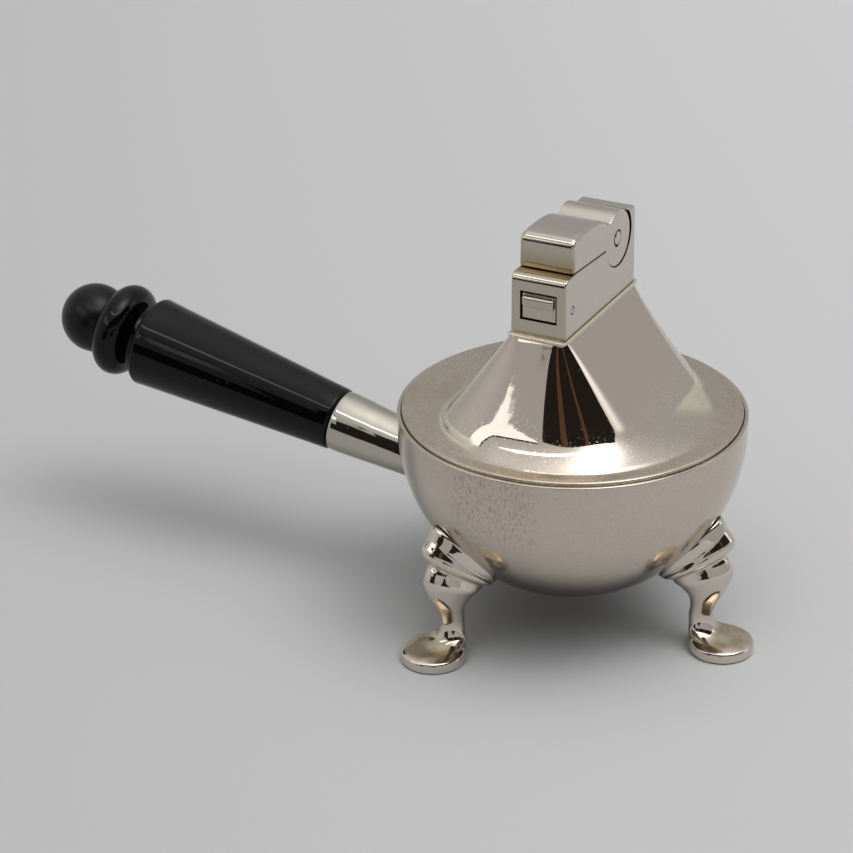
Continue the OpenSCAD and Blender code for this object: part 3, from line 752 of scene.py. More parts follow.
class Polish(Effect):
    """Fine polishing lines and uneven gloss."""

    name = "polish"
    inputs = {"Stretch": (1.0, 1.0, 1.0), "Scale": 2500.0, "Smooth": 0.1, "Rough": 0.2}
    outputs = ("Roughness", "Height")

    def fill(self, sheet: NodeSheet, given: Mapping[str, Socket]) -> dict[str, Socket]:
        """Adds the nodes of the polishing lines.

        Args:
            sheet: The group's sheet.
            given: The group's inputs, by name.

        Returns:
            The roughness, and the height of the lines.
        """
        stretched = sheet.vector_math("MULTIPLY", sheet.place(), given["Stretch"])
        lines = sheet.noise(given["Scale"], 3.0, 0.6, at=stretched)
        cloud = sheet.spread(sheet.noise(90.0, 3.0, 0.5), 0.3, 0.7)
        uneven = sheet.plus(
            sheet.times(sheet.spread(lines, 0.3, 0.75), 0.5), sheet.times(cloud, 0.5)
        )
        gloss = sheet.blend(uneven, given["Smooth"], given["Rough"])
        return {"Roughness": gloss, "Height": lines}


class Crevice(Effect):
    """Corners and gaps found by ambient occlusion, where dirt and painted shade go."""

    name = "crevice"
    inputs = {"Distance": 0.001}
    outputs = ("Mask",)

    def fill(self, sheet: NodeSheet, given: Mapping[str, Socket]) -> dict[str, Socket]:
        """Adds the nodes that find corners.

        Args:
            sheet: The group's sheet.
            given: The group's inputs, by name.

        Returns:
            The mask of the corners.
        """
        reach = {"Distance": given["Distance"]}
        shade = sheet.add("AmbientOcclusion", reach, samples=6, only_local=False)
        deep = sheet.math("SUBTRACT", 1.0, shade.outputs["AO"])
        rough = sheet.blend(sheet.noise(900.0, 3.0, 0.6), 0.6, 1.6)
        return {"Mask": sheet.spread(sheet.times(deep, rough), 0.25, 0.85)}


# Finishes

SHEET_METAL = (0.61, 0.54, 0.468)
PIT_COLOUR = (0.15, 0.13, 0.1)
DIRT_AND_SHADE_COLOUR = (0.03, 0.022, 0.014)
DUST_COLOUR = (0.1, 0.095, 0.09)


@dataclass(frozen=True)
class Plating:
    """Warm silver-coloured plating, from satin sheet to polished castings."""

    name: str
    colour: Colour = (0.66, 0.605, 0.535)
    stained: Colour = (0.4, 0.315, 0.185)
    wear_and_shade_colour: Colour = (0.86, 0.8, 0.62)
    smooth: float = 0.05
    rough: float = 0.1
    stain: float = 0.3
    stain_strength: float = 0.35
    stain_scale: float = 70.0
    stain_dull: float = 0.14
    pit_scale: float = 1400.0
    pit_cover: float = 0.12
    pit_size: float = 0.22
    dirt_and_shade: float = 0.8
    crevice_reach: float = 0.6
    depth: float = 0.003
    wave: float = 0.0

    def build(self) -> bpy.types.Material:
        """Builds the plating's material.

        Returns:
            The material.
        """
        sheet = MaterialSheet(self.name)
        dirt_and_shade = Crevice().place(sheet, Distance=self.crevice_reach * MM)["Mask"]
        dirt_and_shade_share = sheet.times(dirt_and_shade, self.dirt_and_shade)
        stain = Tarnish().place(
            sheet,
            Clean=self.colour,
            Stained=self.stained,
            Scale=self.stain_scale,
            Amount=self.stain,
            Strength=self.stain_strength,
        )
        pits = Pits().place(
            sheet, Scale=self.pit_scale, Size=self.pit_size, Cover=self.pit_amount(sheet)
        )
        lines = Polish().place(sheet, Smooth=self.smooth, Rough=self.rough)
        tone = sheet.mix(self.own_stain(sheet), stain["Color"], self.stained)
        # Wear colour; on the bowl this is painted shade darkening the underside.
        tone = sheet.mix(self.worn(sheet), tone, self.wear_and_shade_colour)
        tone = sheet.mix(sheet.times(pits["Mask"], 0.6), tone, PIT_COLOUR)
        # Dirt and painted shade: the occlusion mask darkens corners and gaps.
        tone = sheet.mix(dirt_and_shade_share, tone, DIRT_AND_SHADE_COLOUR)
        gloss = sheet.plus(lines["Roughness"], sheet.times(stain["Mask"], self.stain_dull))
        dull = sheet.times(sheet.most(dirt_and_shade_share, pits["Mask"]), 0.35)
        gloss = sheet.math("ADD", gloss, dull, clamp=True)
        height = sheet.plus(sheet.times(lines["Height"], 0.2), pits["Height"])
        if self.wave:
            height = sheet.plus(height, sheet.times(sheet.noise(170.0, 1.0, 0.4), self.wave))
        return sheet.finish(
            {
                "Base Color": tone,
                "Metallic": 1.0,
                "Roughness": self.own_gloss(sheet, gloss),
                "Normal": sheet.bump(height, self.depth),
            }
        )

    def own_stain(self, sheet: NodeSheet) -> Value:
        """Returns how strongly the tarnish lies in places of its own."""
        return 0.0

    def worn(self, sheet: NodeSheet) -> Value:
        """Returns how far the plating takes on its wear colour, which the bowl uses for painted
        shade.
        """
        return 0.0

    def own_gloss(self, sheet: NodeSheet, gloss: Socket) -> Value:
        """Returns the roughness, changed in places of its own."""
        return gloss

    def pit_amount(self, sheet: NodeSheet) -> Value:
        """Returns how much of the surface is pitted."""
        return self.pit_cover


@dataclass(frozen=True)
class CoverPlating(Plating):
    """Polished cover sheet: worn yellow lip and foot corners, and a dull speckled plate."""

    colour: Colour = SHEET_METAL
    smooth: float = 0.015
    rough: float = 0.045
    stain_dull: float = 0.04
    wave: float = 7.0
    dirt_and_shade: float = 0.5
    crevice_reach: float = 0.4
    lip_z: float = 78.2
    foot_z: float = 56.0

    def own_stain(self, sheet: NodeSheet) -> Value:
        """Browns the plate and its edge in fine clouds.

        Args:
            sheet: The material's sheet.

        Returns:
            How strongly the tarnish lies there.
        """
        z = sheet.parts()[2]
        fine, wide = sheet.noise(420.0, 5.0, 0.65), sheet.noise(60.0, 2.0, 0.5)
        both = sheet.plus(sheet.times(fine, 0.6), sheet.times(wide, 0.4))
        cloud = sheet.spread(both, 0.35, 0.65, 0.12, 0.45)
        plate = sheet.times(sheet.rise(z, 55.3, 54.6), cloud)
        return sheet.most(plate, sheet.rise(z, 54.1, 53.8, 0.0, 0.45))

    def worn(self, sheet: NodeSheet) -> Value:
        """Pales the lip, the folded corners of the flare's foot, and specks low down.

        Args:
            sheet: The material's sheet.

        Returns:
            How far the plating is worn.
        """
        x, y, z = sheet.parts()
        lip = sheet.rise(z, self.lip_z - 0.2, self.lip_z + 0.1, 0.0, 0.6)
        back = sheet.rise(sheet.math("SUBTRACT", y, x), -27.0, -17.0)
        low = sheet.rise(z, self.foot_z - 1.25, self.foot_z - 0.9)
        high = sheet.rise(z, self.foot_z + 1.2, self.foot_z + 0.7)
        ragged = sheet.spread(sheet.noise(700.0, 3.0, 0.6), 0.25, 0.4)
        foot = sheet.times(low, high, ragged, back, 0.8)
        speck = sheet.spread(sheet.noise(2800.0, 2.0, 0.5), 0.62, 0.68)
        dusty = sheet.rise(z, 66.5, 57.5, 0.0, 0.75)
        return sheet.most(lip, foot, sheet.times(speck, dusty))

    def own_gloss(self, sheet: NodeSheet, gloss: Socket) -> Value:
        """Dulls the flat plate and the worn places."""
        plate = sheet.rise(sheet.parts()[2], 55.6, 54.7, 0.0, 0.2)
        return sheet.plus(gloss, sheet.most(plate, sheet.times(self.worn(sheet), 0.35)))

    def pit_amount(self, sheet: NodeSheet) -> Value:
        """Adds specks towards the foot of the flare and on the plate."""
        few, many = self.pit_cover * 0.3, self.pit_cover * 4.0
        return sheet.rise(sheet.parts()[2], 65.5, 57.5, few, many)


@dataclass(frozen=True)
class BowlPlating(Plating):
    """Satin bowl sheet with upright rows of small pits on one side, and painted shade that darkens
    the underside.
    """

    colour: Colour = SHEET_METAL
    stained: Colour = (0.3, 0.26, 0.2)
    wear_and_shade_colour: Colour = (0.15, 0.13, 0.115)
    smooth: float = 0.1
    rough: float = 0.19
    depth: float = 0.004

    def worn(self, sheet: NodeSheet) -> Value:
        """Paints shade on the underside, darkening it towards the bottom."""
        return sheet.rise(sheet.parts()[2], 30.0, 19.5, 0.0, 0.95)

    def streaks(self, sheet: NodeSheet) -> Socket:
        """Finds the pitted streaks.

        Args:
            sheet: The material's sheet.

        Returns:
            The mask of the streaks.
        """
        x, y, z = sheet.parts()
        upright = sheet.vector_math("MULTIPLY", sheet.place(), (1.0, 1.0, 0.3))
        dash = sheet.spread(sheet.noise(2600.0, 3.0, 0.7, at=upright), 0.5, 0.64)
        across = sheet.math("ABSOLUTE", sheet.plus(x, 2.0 * MM))
        side = sheet.rise(across, 14.0, 8.0)
        front = sheet.math("LESS_THAN", y, 0.0)
        low, high = sheet.rise(z, 26.0, 44.0), sheet.rise(z, 53.4, 52.5)
        return sheet.times(dash, side, front, low, high)

    def own_stain(self, sheet: NodeSheet) -> Value:
        """Darkens the streaks and mottles the sheet finely."""
        grain = sheet.spread(sheet.noise(1500.0, 3.0, 0.6), 0.4, 0.7, 0.0, 0.16)
        return sheet.most(sheet.times(self.streaks(sheet), 0.75), grain)


@dataclass(frozen=True)
class LegPlating(Plating):
    """Bright cast legs whose pads are worn to a dull golden tone on top."""

    smooth: float = 0.03
    rough: float = 0.07
    pit_cover: float = 0.04
    wave: float = 10.0
    pad_z: float = 3.0

    def own_stain(self, sheet: NodeSheet) -> Value:
        """Yellows the tops of the pads and the foot of the crest.

        Args:
            sheet: The material's sheet.

        Returns:
            How strongly the tarnish lies there.
        """
        z = sheet.parts()[2]
        top = sheet.rise(z, self.pad_z - 0.45, self.pad_z - 0.1)
        fade = sheet.rise(z, self.pad_z + 3.2, self.pad_z + 0.6)
        return sheet.times(top, fade, sheet.spread(sheet.noise(240.0), 0.3, 0.7, 0.35, 0.95))

    def own_gloss(self, sheet: NodeSheet, gloss: Socket) -> Value:
        """Dulls the tops of the pads.

        Args:
            sheet: The material's sheet.
            gloss: The roughness elsewhere.

        Returns:
            The roughness.
        """
        z = sheet.parts()[2]
        top = sheet.rise(z, self.pad_z - 0.4, self.pad_z - 0.1)
        fade = sheet.rise(z, self.pad_z + 1.6, self.pad_z + 0.5, 0.0, 0.16)
        return sheet.plus(gloss, sheet.times(top, fade))


@dataclass(frozen=True)
class WorksPlating(Plating):
    """Worn lighter castings, yellowed on the ledge, low on the arm's front and by the neck."""

    colour: Colour = (0.59, 0.545, 0.485)
    smooth: float = 0.07
    rough: float = 0.16
    stain: float = 0.45
    stain_scale: float = 260.0
    dirt_and_shade: float = 1.0
    crevice_reach: float = 0.9
    pit_cover: float = 0.25
    deck_z: float = 93.0
    neck_z: float = 79.0
    arm_y: float = -14.6
    face_y: float = -18.7

    def own_stain(self, sheet: NodeSheet) -> Value:
        """Yellows the front where fingers and soot reach.

        Args:
            sheet: The material's sheet.

        Returns:
            How strongly the tarnish lies there.
        """
        _, y, z = sheet.parts()
        front = sheet.rise(y, self.arm_y + 1.2, self.arm_y + 0.2)
        deck = sheet.rise(z, self.deck_z - 0.5, self.deck_z - 0.1)
        above = sheet.rise(z, self.deck_z + 5.5, self.deck_z + 1.0, 0.3)
        by_neck = sheet.rise(z, self.neck_z + 1.6, self.neck_z, 0.0, 0.4)
        face = sheet.rise(y, self.face_y + 0.6, self.face_y, 0.0, 0.28)
        return sheet.most(sheet.times(front, deck, above, 0.85), by_neck, face)


@dataclass(frozen=True)
class BlackPlastic:
    """Glossy black moulded plastic with fine scuffs and settled dust, matter on the ball."""

    name: str
    colour: Colour = (0.0015, 0.0015, 0.0018)
    worn: Colour = (0.004, 0.0034, 0.0032)
    smooth: float = 0.03
    rough: float = 0.08
    scuffs: float = 0.2
    ball_x: float = -119.0
    ball_dull: float = 0.22
    refraction: float = 1.3

    def build(self) -> bpy.types.Material:
        """Builds the plastic's material.

        Returns:
            The material.
        """
        sheet = MaterialSheet(self.name)
        lines = Polish().place(
            sheet, Stretch=(0.25, 1.0, 1.0), Scale=1800.0, Smooth=self.smooth, Rough=self.rough
        )
        pits = Pits().place(sheet, Scale=900.0, Size=0.2, Cover=self.scuffs, Patch=45.0)
        dust = sheet.times(pits["Mask"], 0.3)
        ball = sheet.rise(sheet.parts()[0], self.ball_x, self.ball_x - 5)
        cloud = sheet.spread(sheet.noise(70.0, 5.0, 0.6), 0.5, 0.8, 0.0, 0.45)
        faded = sheet.most(cloud, sheet.times(ball, 0.7))
        return sheet.finish(
            {
                "Base Color": sheet.mix(
                    dust, sheet.mix(faded, self.colour, self.worn), DUST_COLOUR
                ),
                "Roughness": sheet.plus(
                    lines["Roughness"], dust, sheet.times(ball, self.ball_dull)
                ),
                "IOR": self.refraction,
                "Normal": sheet.bump(sheet.times(lines["Height"], 0.3), 0.0015),
            }
        )


@dataclass(frozen=True)
class PlainMetal:
    """Unplated metal of the inner works, with oil stains, painted shade in its corners and fine
    lines.
    """

    name: str
    colour: Colour
    stained: Colour
    smooth: float = 0.2
    rough: float = 0.38
    stain: float = 0.55
    crevice_reach: float = 0.6

    def build(self) -> bpy.types.Material:
        """Builds the metal's material.

        Returns:
            The material.
        """
        sheet = MaterialSheet(self.name)
        stain = Tarnish().place(
            sheet,
            Clean=self.colour,
            Stained=self.stained,
            Scale=140.0,
            Amount=self.stain,
            Strength=0.7,
            # The occlusion mask stains corners and gaps: oil stain and painted shade.
            Extra=Crevice().place(sheet, Distance=self.crevice_reach * MM)["Mask"],
        )
        lines = Polish().place(sheet, Scale=3500.0, Smooth=self.smooth, Rough=self.rough)
        return sheet.finish(
            {
                "Base Color": stain["Color"],
                "Metallic": 1.0,
                "Roughness": sheet.plus(lines["Roughness"], sheet.times(stain["Mask"], 0.2)),
                "Normal": sheet.bump(lines["Height"], 0.003),
            }
        )


@dataclass(frozen=True)
class DrySurface:
    """A dull non-metal such as cotton, cork, flint or gasket sheet."""

    name: str
    colour: Colour
    dark: Colour
    scale: float
    depth: float
    rough: float = 0.85

    def build(self) -> bpy.types.Material:
        """Builds the dull material.

        Returns:
            The material.
        """
        sheet = MaterialSheet(self.name)
        grain = sheet.noise(self.scale, 6.0, 0.65, 0.4)
        wide = sheet.noise(self.scale / 6, 3.0, 0.5)
        both = sheet.times(sheet.plus(grain, wide), 0.5)
        pits = Pits().place(sheet, Scale=self.scale, Size=0.35, Cover=0.5)
        colour = sheet.mix(sheet.spread(both, 0.35, 0.65), self.dark, self.colour)
        return sheet.finish(
            {
                "Base Color": sheet.mix(sheet.times(pits["Mask"], 0.5), colour, self.dark),
                "Roughness": self.rough,
                "Normal": sheet.bump(grain, self.depth),
            }
        )


class Finishes:
    """All finishes of the lighter, built once."""

    def __init__(self) -> None:
        """Builds the materials."""
        ferrule = Plating(
            "bright_plated_ferrule", (0.5, 0.475, 0.41), smooth=0.02, rough=0.06, wave=36.0
        )
        brass = PlainMetal("aged_brass", (0.62, 0.43, 0.17), (0.2, 0.12, 0.04))
        steel = PlainMetal("oiled_steel", (0.4, 0.4, 0.4), (0.14, 0.12, 0.1))
        flint = DrySurface("flint_stone", (0.16, 0.16, 0.17), (0.06, 0.06, 0.065), 900, 0.02)
        cotton = DrySurface("cotton", (0.62, 0.58, 0.5), (0.4, 0.35, 0.27), 700, 0.12)
        cork = DrySurface("cork", (0.42, 0.27, 0.14), (0.16, 0.09, 0.04), 900, 0.08)
        gasket = DrySurface("gasket_sheet", (0.2, 0.1, 0.05), (0.08, 0.04, 0.02), 800, 0.04)
        self.bowl = BowlPlating("satin_plated_bowl").build()
        self.cover = CoverPlating("polished_plated_cover").build()
        self.leg = LegPlating("bright_plated_leg").build()
        self.ferrule = ferrule.build()
        self.works = WorksPlating("plated_lighter_works").build()
        self.black = BlackPlastic("gloss_black_grip").build()
        self.brass, self.steel = brass.build(), steel.build()
        self.flint, self.cotton = flint.build(), cotton.build()
        self.cork, self.gasket = cork.build(), gasket.build()


# Studio


def direction(azimuth: float, elevation: float) -> Vector:
    """Returns a direction: azimuth 0 is the button's side, and 90 is away from the handle."""
    a, e = math.radians(azimuth), math.radians(elevation)
    return Vector((math.sin(a) * math.cos(e), -math.cos(a) * math.cos(e), math.sin(e)))


@dataclass(frozen=True)
class Glow:
    """A bright place on the light tent's cloth, with a soft fall-off."""

    azimuth: float
    elevation: float
    width: float
    lit: float
    mirrored: float

    def add(self, sheet: NodeSheet, way: Socket, mirror: Socket) -> Socket:
        """Adds the glow's nodes.

        Args:
            sheet: The world's sheet.
            way: The direction looked in.
            mirror: 1 where a polished surface looks, and 0 where light falls on a dull one.

        Returns:
            The glow's brightness for the direction.
        """
        towards = tuple(direction(self.azimuth, self.elevation))
        near = sheet.vector_math("DOT_PRODUCT", way, towards)
        off = sheet.math("SUBTRACT", near, 1.0)
        power = sheet.times(off, 1 / math.radians(self.width) ** 2)
        strength = sheet.blend(mirror, self.lit, self.mirrored)
        return sheet.times(sheet.math("EXPONENT", power), strength)


@dataclass(frozen=True)
class ReferenceCamera:
    """The photograph's camera, worked out from points of the object's known sizes."""

    azimuth: float = 24.133
    elevation: float = 26.424
    roll: float = 0.80
    pan: float = 2.94
    tilt: float = 0.259
    distance: float = 0.650
    aim_height: float = 0.045
    focal: float = 2833.1
    frame_px: float = 853.0
    sensor: float = 36.0

    def build(self) -> None:
        """Builds the camera and makes it the scene's."""
        a = math.radians(self.azimuth)
        back = direction(self.azimuth, self.elevation)
        right = Vector((math.cos(a), math.sin(a), 0.0))
        place = Vector((0, 0, self.aim_height)) + back * self.distance
        axes = [right, back.cross(right), back]
        for angle, axis in ((self.pan, 1), (self.tilt, 0), (self.roll, 2)):
            turn = Matrix.Rotation(math.radians(angle), 3, axes[axis])
            axes = [turn @ way for way in axes]
        data = bpy.data.cameras.new("camera")
        data.sensor_width = self.sensor
        data.lens = self.focal * self.sensor / self.frame_px
        data.clip_start, data.clip_end = 0.02, 60.0
        camera = bpy.data.objects.new("camera", data)
        bpy.context.scene.collection.objects.link(camera)
        camera.matrix_world = Matrix([*zip(*axes, place), (0, 0, 0, 1)])
        bpy.context.scene.camera = camera


@dataclass(frozen=True)
class Opening:
    """What polished metal mirrors on the camera's side: cards of upright strips.

    Azimuths and elevations are degrees seen from a point above the lighter's middle. A
    strip is its first and last azimuth and its lowest and highest elevation.
    """

    reach: float = 420.0
    eye: float = 50.0
    floor_gap: float = 0.5
    step: int = 2
    room: tuple[int, int] = (-14, 110)
    room_foot: float = 19.0
    room_top: float = 47.0
    top_bend: float = 0.0034
    bend_from: float = 45.0
    uprights: tuple[Pair, ...] = ((15.0, 26.0), (55.0, 62.0))
    low_middle: float = 24.0
    low_half: float = 12.0
    low_foot: float = -6.7
    low_top: float = 12.0
    horizon: tuple[tuple[int, int, float], ...] = ((-34, -22, 12.0), (-22, -8, 25.0))
    horizon_foot: float = -8.0
    panel: tuple[int, int] = (-64, -23)
    panel_corner: float = -26.2
    panel_foot: float = 25.1
    panel_slopes: Pair = (0.035, 0.8)
    panel_top: float = 36.0
    border_top: float = 38.5
    lamp: tuple[int, int] = (-46, 60)
    lamp_ends: Pair = (53.5, 57.5)

    def room_strips(self) -> tuple[list[Strip], list[Strip]]:
        """Lays out the dark opening.

        Returns:
            The strips of the dark room, and those of the warm uprights in it.
        """
        room, warm = [], []
        for start in range(*self.room, self.step):
            stop, middle = start + self.step, start + self.step / 2
            top = self.room_top - self.top_bend * max(0.0, self.bend_from - middle) ** 2
            upright = any(low < middle < high for low, high in self.uprights)
            (warm if upright else room).append((start, stop, self.room_foot, top))
            off = abs(middle - self.low_middle) / self.low_half
            if off < 1:
                top = self.low_top - (self.low_top - self.low_foot) * off
                room.append((start, stop, self.low_foot, top))
        for first, last, top in self.horizon:
            for start in range(first, last, self.step):
                room.append((start, start + self.step, self.horizon_foot, top))
        return room, warm

    def panel_strips(self) -> tuple[list[Strip], list[Strip]]:
        """Lays out the bright panel, in half degrees.

        Returns:
            The panel's strips, and those of the dark border over it.
        """
        panel, border = [], []
        for half in range(2 * self.panel[0], 2 * self.panel[1]):
            start, stop = half / 2, half / 2 + 0.5
            past = start - self.panel_corner
            foot = self.panel_foot + self.panel_slopes[past > 0] * past
            panel.append((start, stop, foot, self.panel_top))
            border.append((start, stop, self.panel_top, self.border_top))
        return panel, border

    def card(self, name: str, strips: Sequence[Strip]) -> bpy.types.Object:
        """Builds upright strips round the lighter.

        Args:
            name: The card's name.
            strips: Its strips.

        Returns:
            The card.
        """
        points = []
        for start, stop, low, top in strips:
            for azimuth, height in ((start, low), (stop, low), (stop, top), (start, top)):
                flat = direction(azimuth, 0.0) * self.reach
                z = self.eye + self.reach * math.tan(math.radians(height))
                points.append((flat.x, flat.y, max(self.floor_gap, z)))
        faces = [range(i, i + 4) for i in range(0, len(points), 4)]
        return mesh_object(name, points, faces)

    def build(self) -> None:
        """Builds the cards, which only mirrors see."""
        room, warm = self.room_strips()
        panel, border = self.panel_strips()
        lamp = [
            (start, start + self.step, *self.lamp_ends) for start in range(*self.lamp, self.step)
        ]
        for name, colour, glow, strips in (
            ("dark_room", (0.022, 0.018, 0.015), 0.6, room + border),
            ("warm_upright", (0.13, 0.065, 0.035), 0.6, warm),
            ("bright_panel", (1.0, 1.0, 1.0), 1.2, panel),
            ("lamp_edge", (1.0, 1.0, 1.0), 4.0, lamp),
        ):
            card = self.card(f"tent_{name}", strips)
            material = MaterialSheet(name).finish(
                {
                    "Base Color": colour,
                    "Roughness": 1.0,
                    "Specular IOR Level": 0.0,
                    "Emission Color": colour,
                    "Emission Strength": glow,
                }
            )
            card.data.materials.append(material)
            card.visible_camera = card.visible_diffuse = card.visible_shadow = False


@dataclass(frozen=True)
class Studio:
    """A pale paper floor in a light tent that opens on the camera's side."""

    floor_half: float = 9000.0
    floor_drop: float = 0.05
    painted_light_side: Point = (0.833, 0.59, 0.0)
    painted_shade_tone: Colour = (0.408, 0.408, 0.411)
    painted_light_tone: Colour = (0.53, 0.53, 0.533)
    even: float = 0.06
    mirror_even: float = 0.4
    glows: tuple[Glow, ...] = (
        Glow(86, 64, 12, 6.0, 4.5),
        Glow(-2, 60, 14, 1.2, 0.1),
        Glow(30, 50, 24, 0.25, 0.15),
        Glow(60, 84, 26, 1.5, 0.6),
        Glow(-80, 20, 30, 0.0, 0.22),
        Glow(121, 22, 6, 0.0, 1.1),
        Glow(148, 14, 24, 0.0, 0.1),
        Glow(204, 66, 16, 0.0, 0.3),
    )

    def build(self) -> None:
        """Builds floor, lights and surroundings."""
        self.floor()
        self.tent()
        Opening().build()
        log.info("studio built")

    def floor(self) -> None:
        """Builds the paper floor, with painted light that brightens it towards the main light."""
        h, z = self.floor_half, -self.floor_drop
        corners = [(-h, -h, z), (h, -h, z), (h, h, z), (-h, h, z)]
        floor = mesh_object("paper_floor", corners, [range(4)])
        sheet = MaterialSheet("pale_paper")
        # Painted light: the paper brightens along this side, towards the main light.
        side = sheet.vector_math("DOT_PRODUCT", sheet.place(), self.painted_light_side)
        tone = sheet.add("MapRange", {"Value": side, "From Min": -0.15, "From Max": 0.3})
        grain = sheet.noise(900.0, 4.0, 0.6)
        light = sheet.plus(tone.outputs[0], sheet.times(grain, 0.08))
        material = sheet.finish(
            {
                "Base Color": sheet.mix(light, self.painted_shade_tone, self.painted_light_tone),
                "Roughness": 0.85,
                "Normal": sheet.bump(grain, 0.02),
            }
        )
        floor.data.materials.append(material)

    def tent(self) -> None:
        """Sets the tent's light: even parts, and the brighter places on its cloth."""
        world = bpy.data.worlds.new("light_tent")
        world.use_nodes = True
        bpy.context.scene.world = world
        sheet = NodeSheet(world.node_tree)
        way = sheet.add("TexCoord").outputs["Generated"]
        mirror = sheet.add("LightPath").outputs["Is Glossy Ray"]
        lights = [glow.add(sheet, way, mirror) for glow in self.glows]
        even = sheet.blend(mirror, self.even, self.mirror_even)
        back = world.node_tree.nodes["Background"]
        sheet.feed(back.inputs["Color"], sheet.plus(even, *lights))
        back.inputs["Strength"].default_value = 1.0


# Pieces


@dataclass
class Assembly:
    """What every sub-assembly shares: finishes, and handing its pieces over to the frame."""

    finishes: Finishes

    def build(self) -> None:
        """Builds the sub-assembly's pieces."""
        raise NotImplementedError

    def mount(
        self,
        piece: bpy.types.Object,
        body: Body,
        slot: Slot,
        finish: bpy.types.Material,
        *nodes: str,
    ) -> None:
        """Gives a piece its finish and body, and hides the CAD nodes it stands for.

        Args:
            piece: The finished piece.
            body: The body it moves with.
            slot: The record's material slot; not used.
            finish: The material.
            nodes: The CAD nodes that it stands for.
        """
        piece.data.materials.clear()
        piece.data.materials.append(finish)
        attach(piece, body.value)
        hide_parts(*nodes)
        log.info("piece %s rides on %s", piece.name, body.value)

    def dress_nodes(self, finish: bpy.types.Material, *nodes: str) -> None:
        """Gives carried-over CAD nodes their finish.

        Args:
            finish: The material.
            nodes: The nodes' names.
        """
        for node in nodes:
            materials = frame["nodes"][node].data.materials
            materials.clear()
            materials.append(finish)
            log.info("node %s dressed with %s", node, finish.name)


@dataclass
class BowlSet(Assembly):
    """The round bowl with its rolled rim and the ring that carries the cover."""

    radius: float = 40.0
    wall: float = 1.0
    rim: float = 3.4
    centre: float = 50.1
    edge: float = 0.3
    outer_band: float = 1.2
    inner_band: float = 1.4

    def build(self) -> None:
        """Builds and dresses the bowl."""
        z0, top, edge = self.centre, self.centre + self.rim, self.edge
        r, inner = self.radius, self.radius - self.wall
        profile = [
            (0.0, z0 - r),
            *arc((0, z0), r, -90, 0, 90)[1:],
            (r, z0 + self.outer_band),
            (r, top - self.outer_band),
            *arc((r - edge, top - edge), edge, 0, 90, 6),
            *arc((inner + edge, top - edge), edge, 90, 180, 6),
            (inner, top - self.inner_band),
            *arc((0, z0), inner, 0, -90, 60)[:-1],
            (0.0, z0 - inner),
        ]
        bowl = lathe("round_bowl", profile, 256)
        self.mount(bowl, Body.BASE, Slot.SHEET, self.finishes.bowl, "bowl")
        self.dress_nodes(self.finishes.brass, "seat_ring")


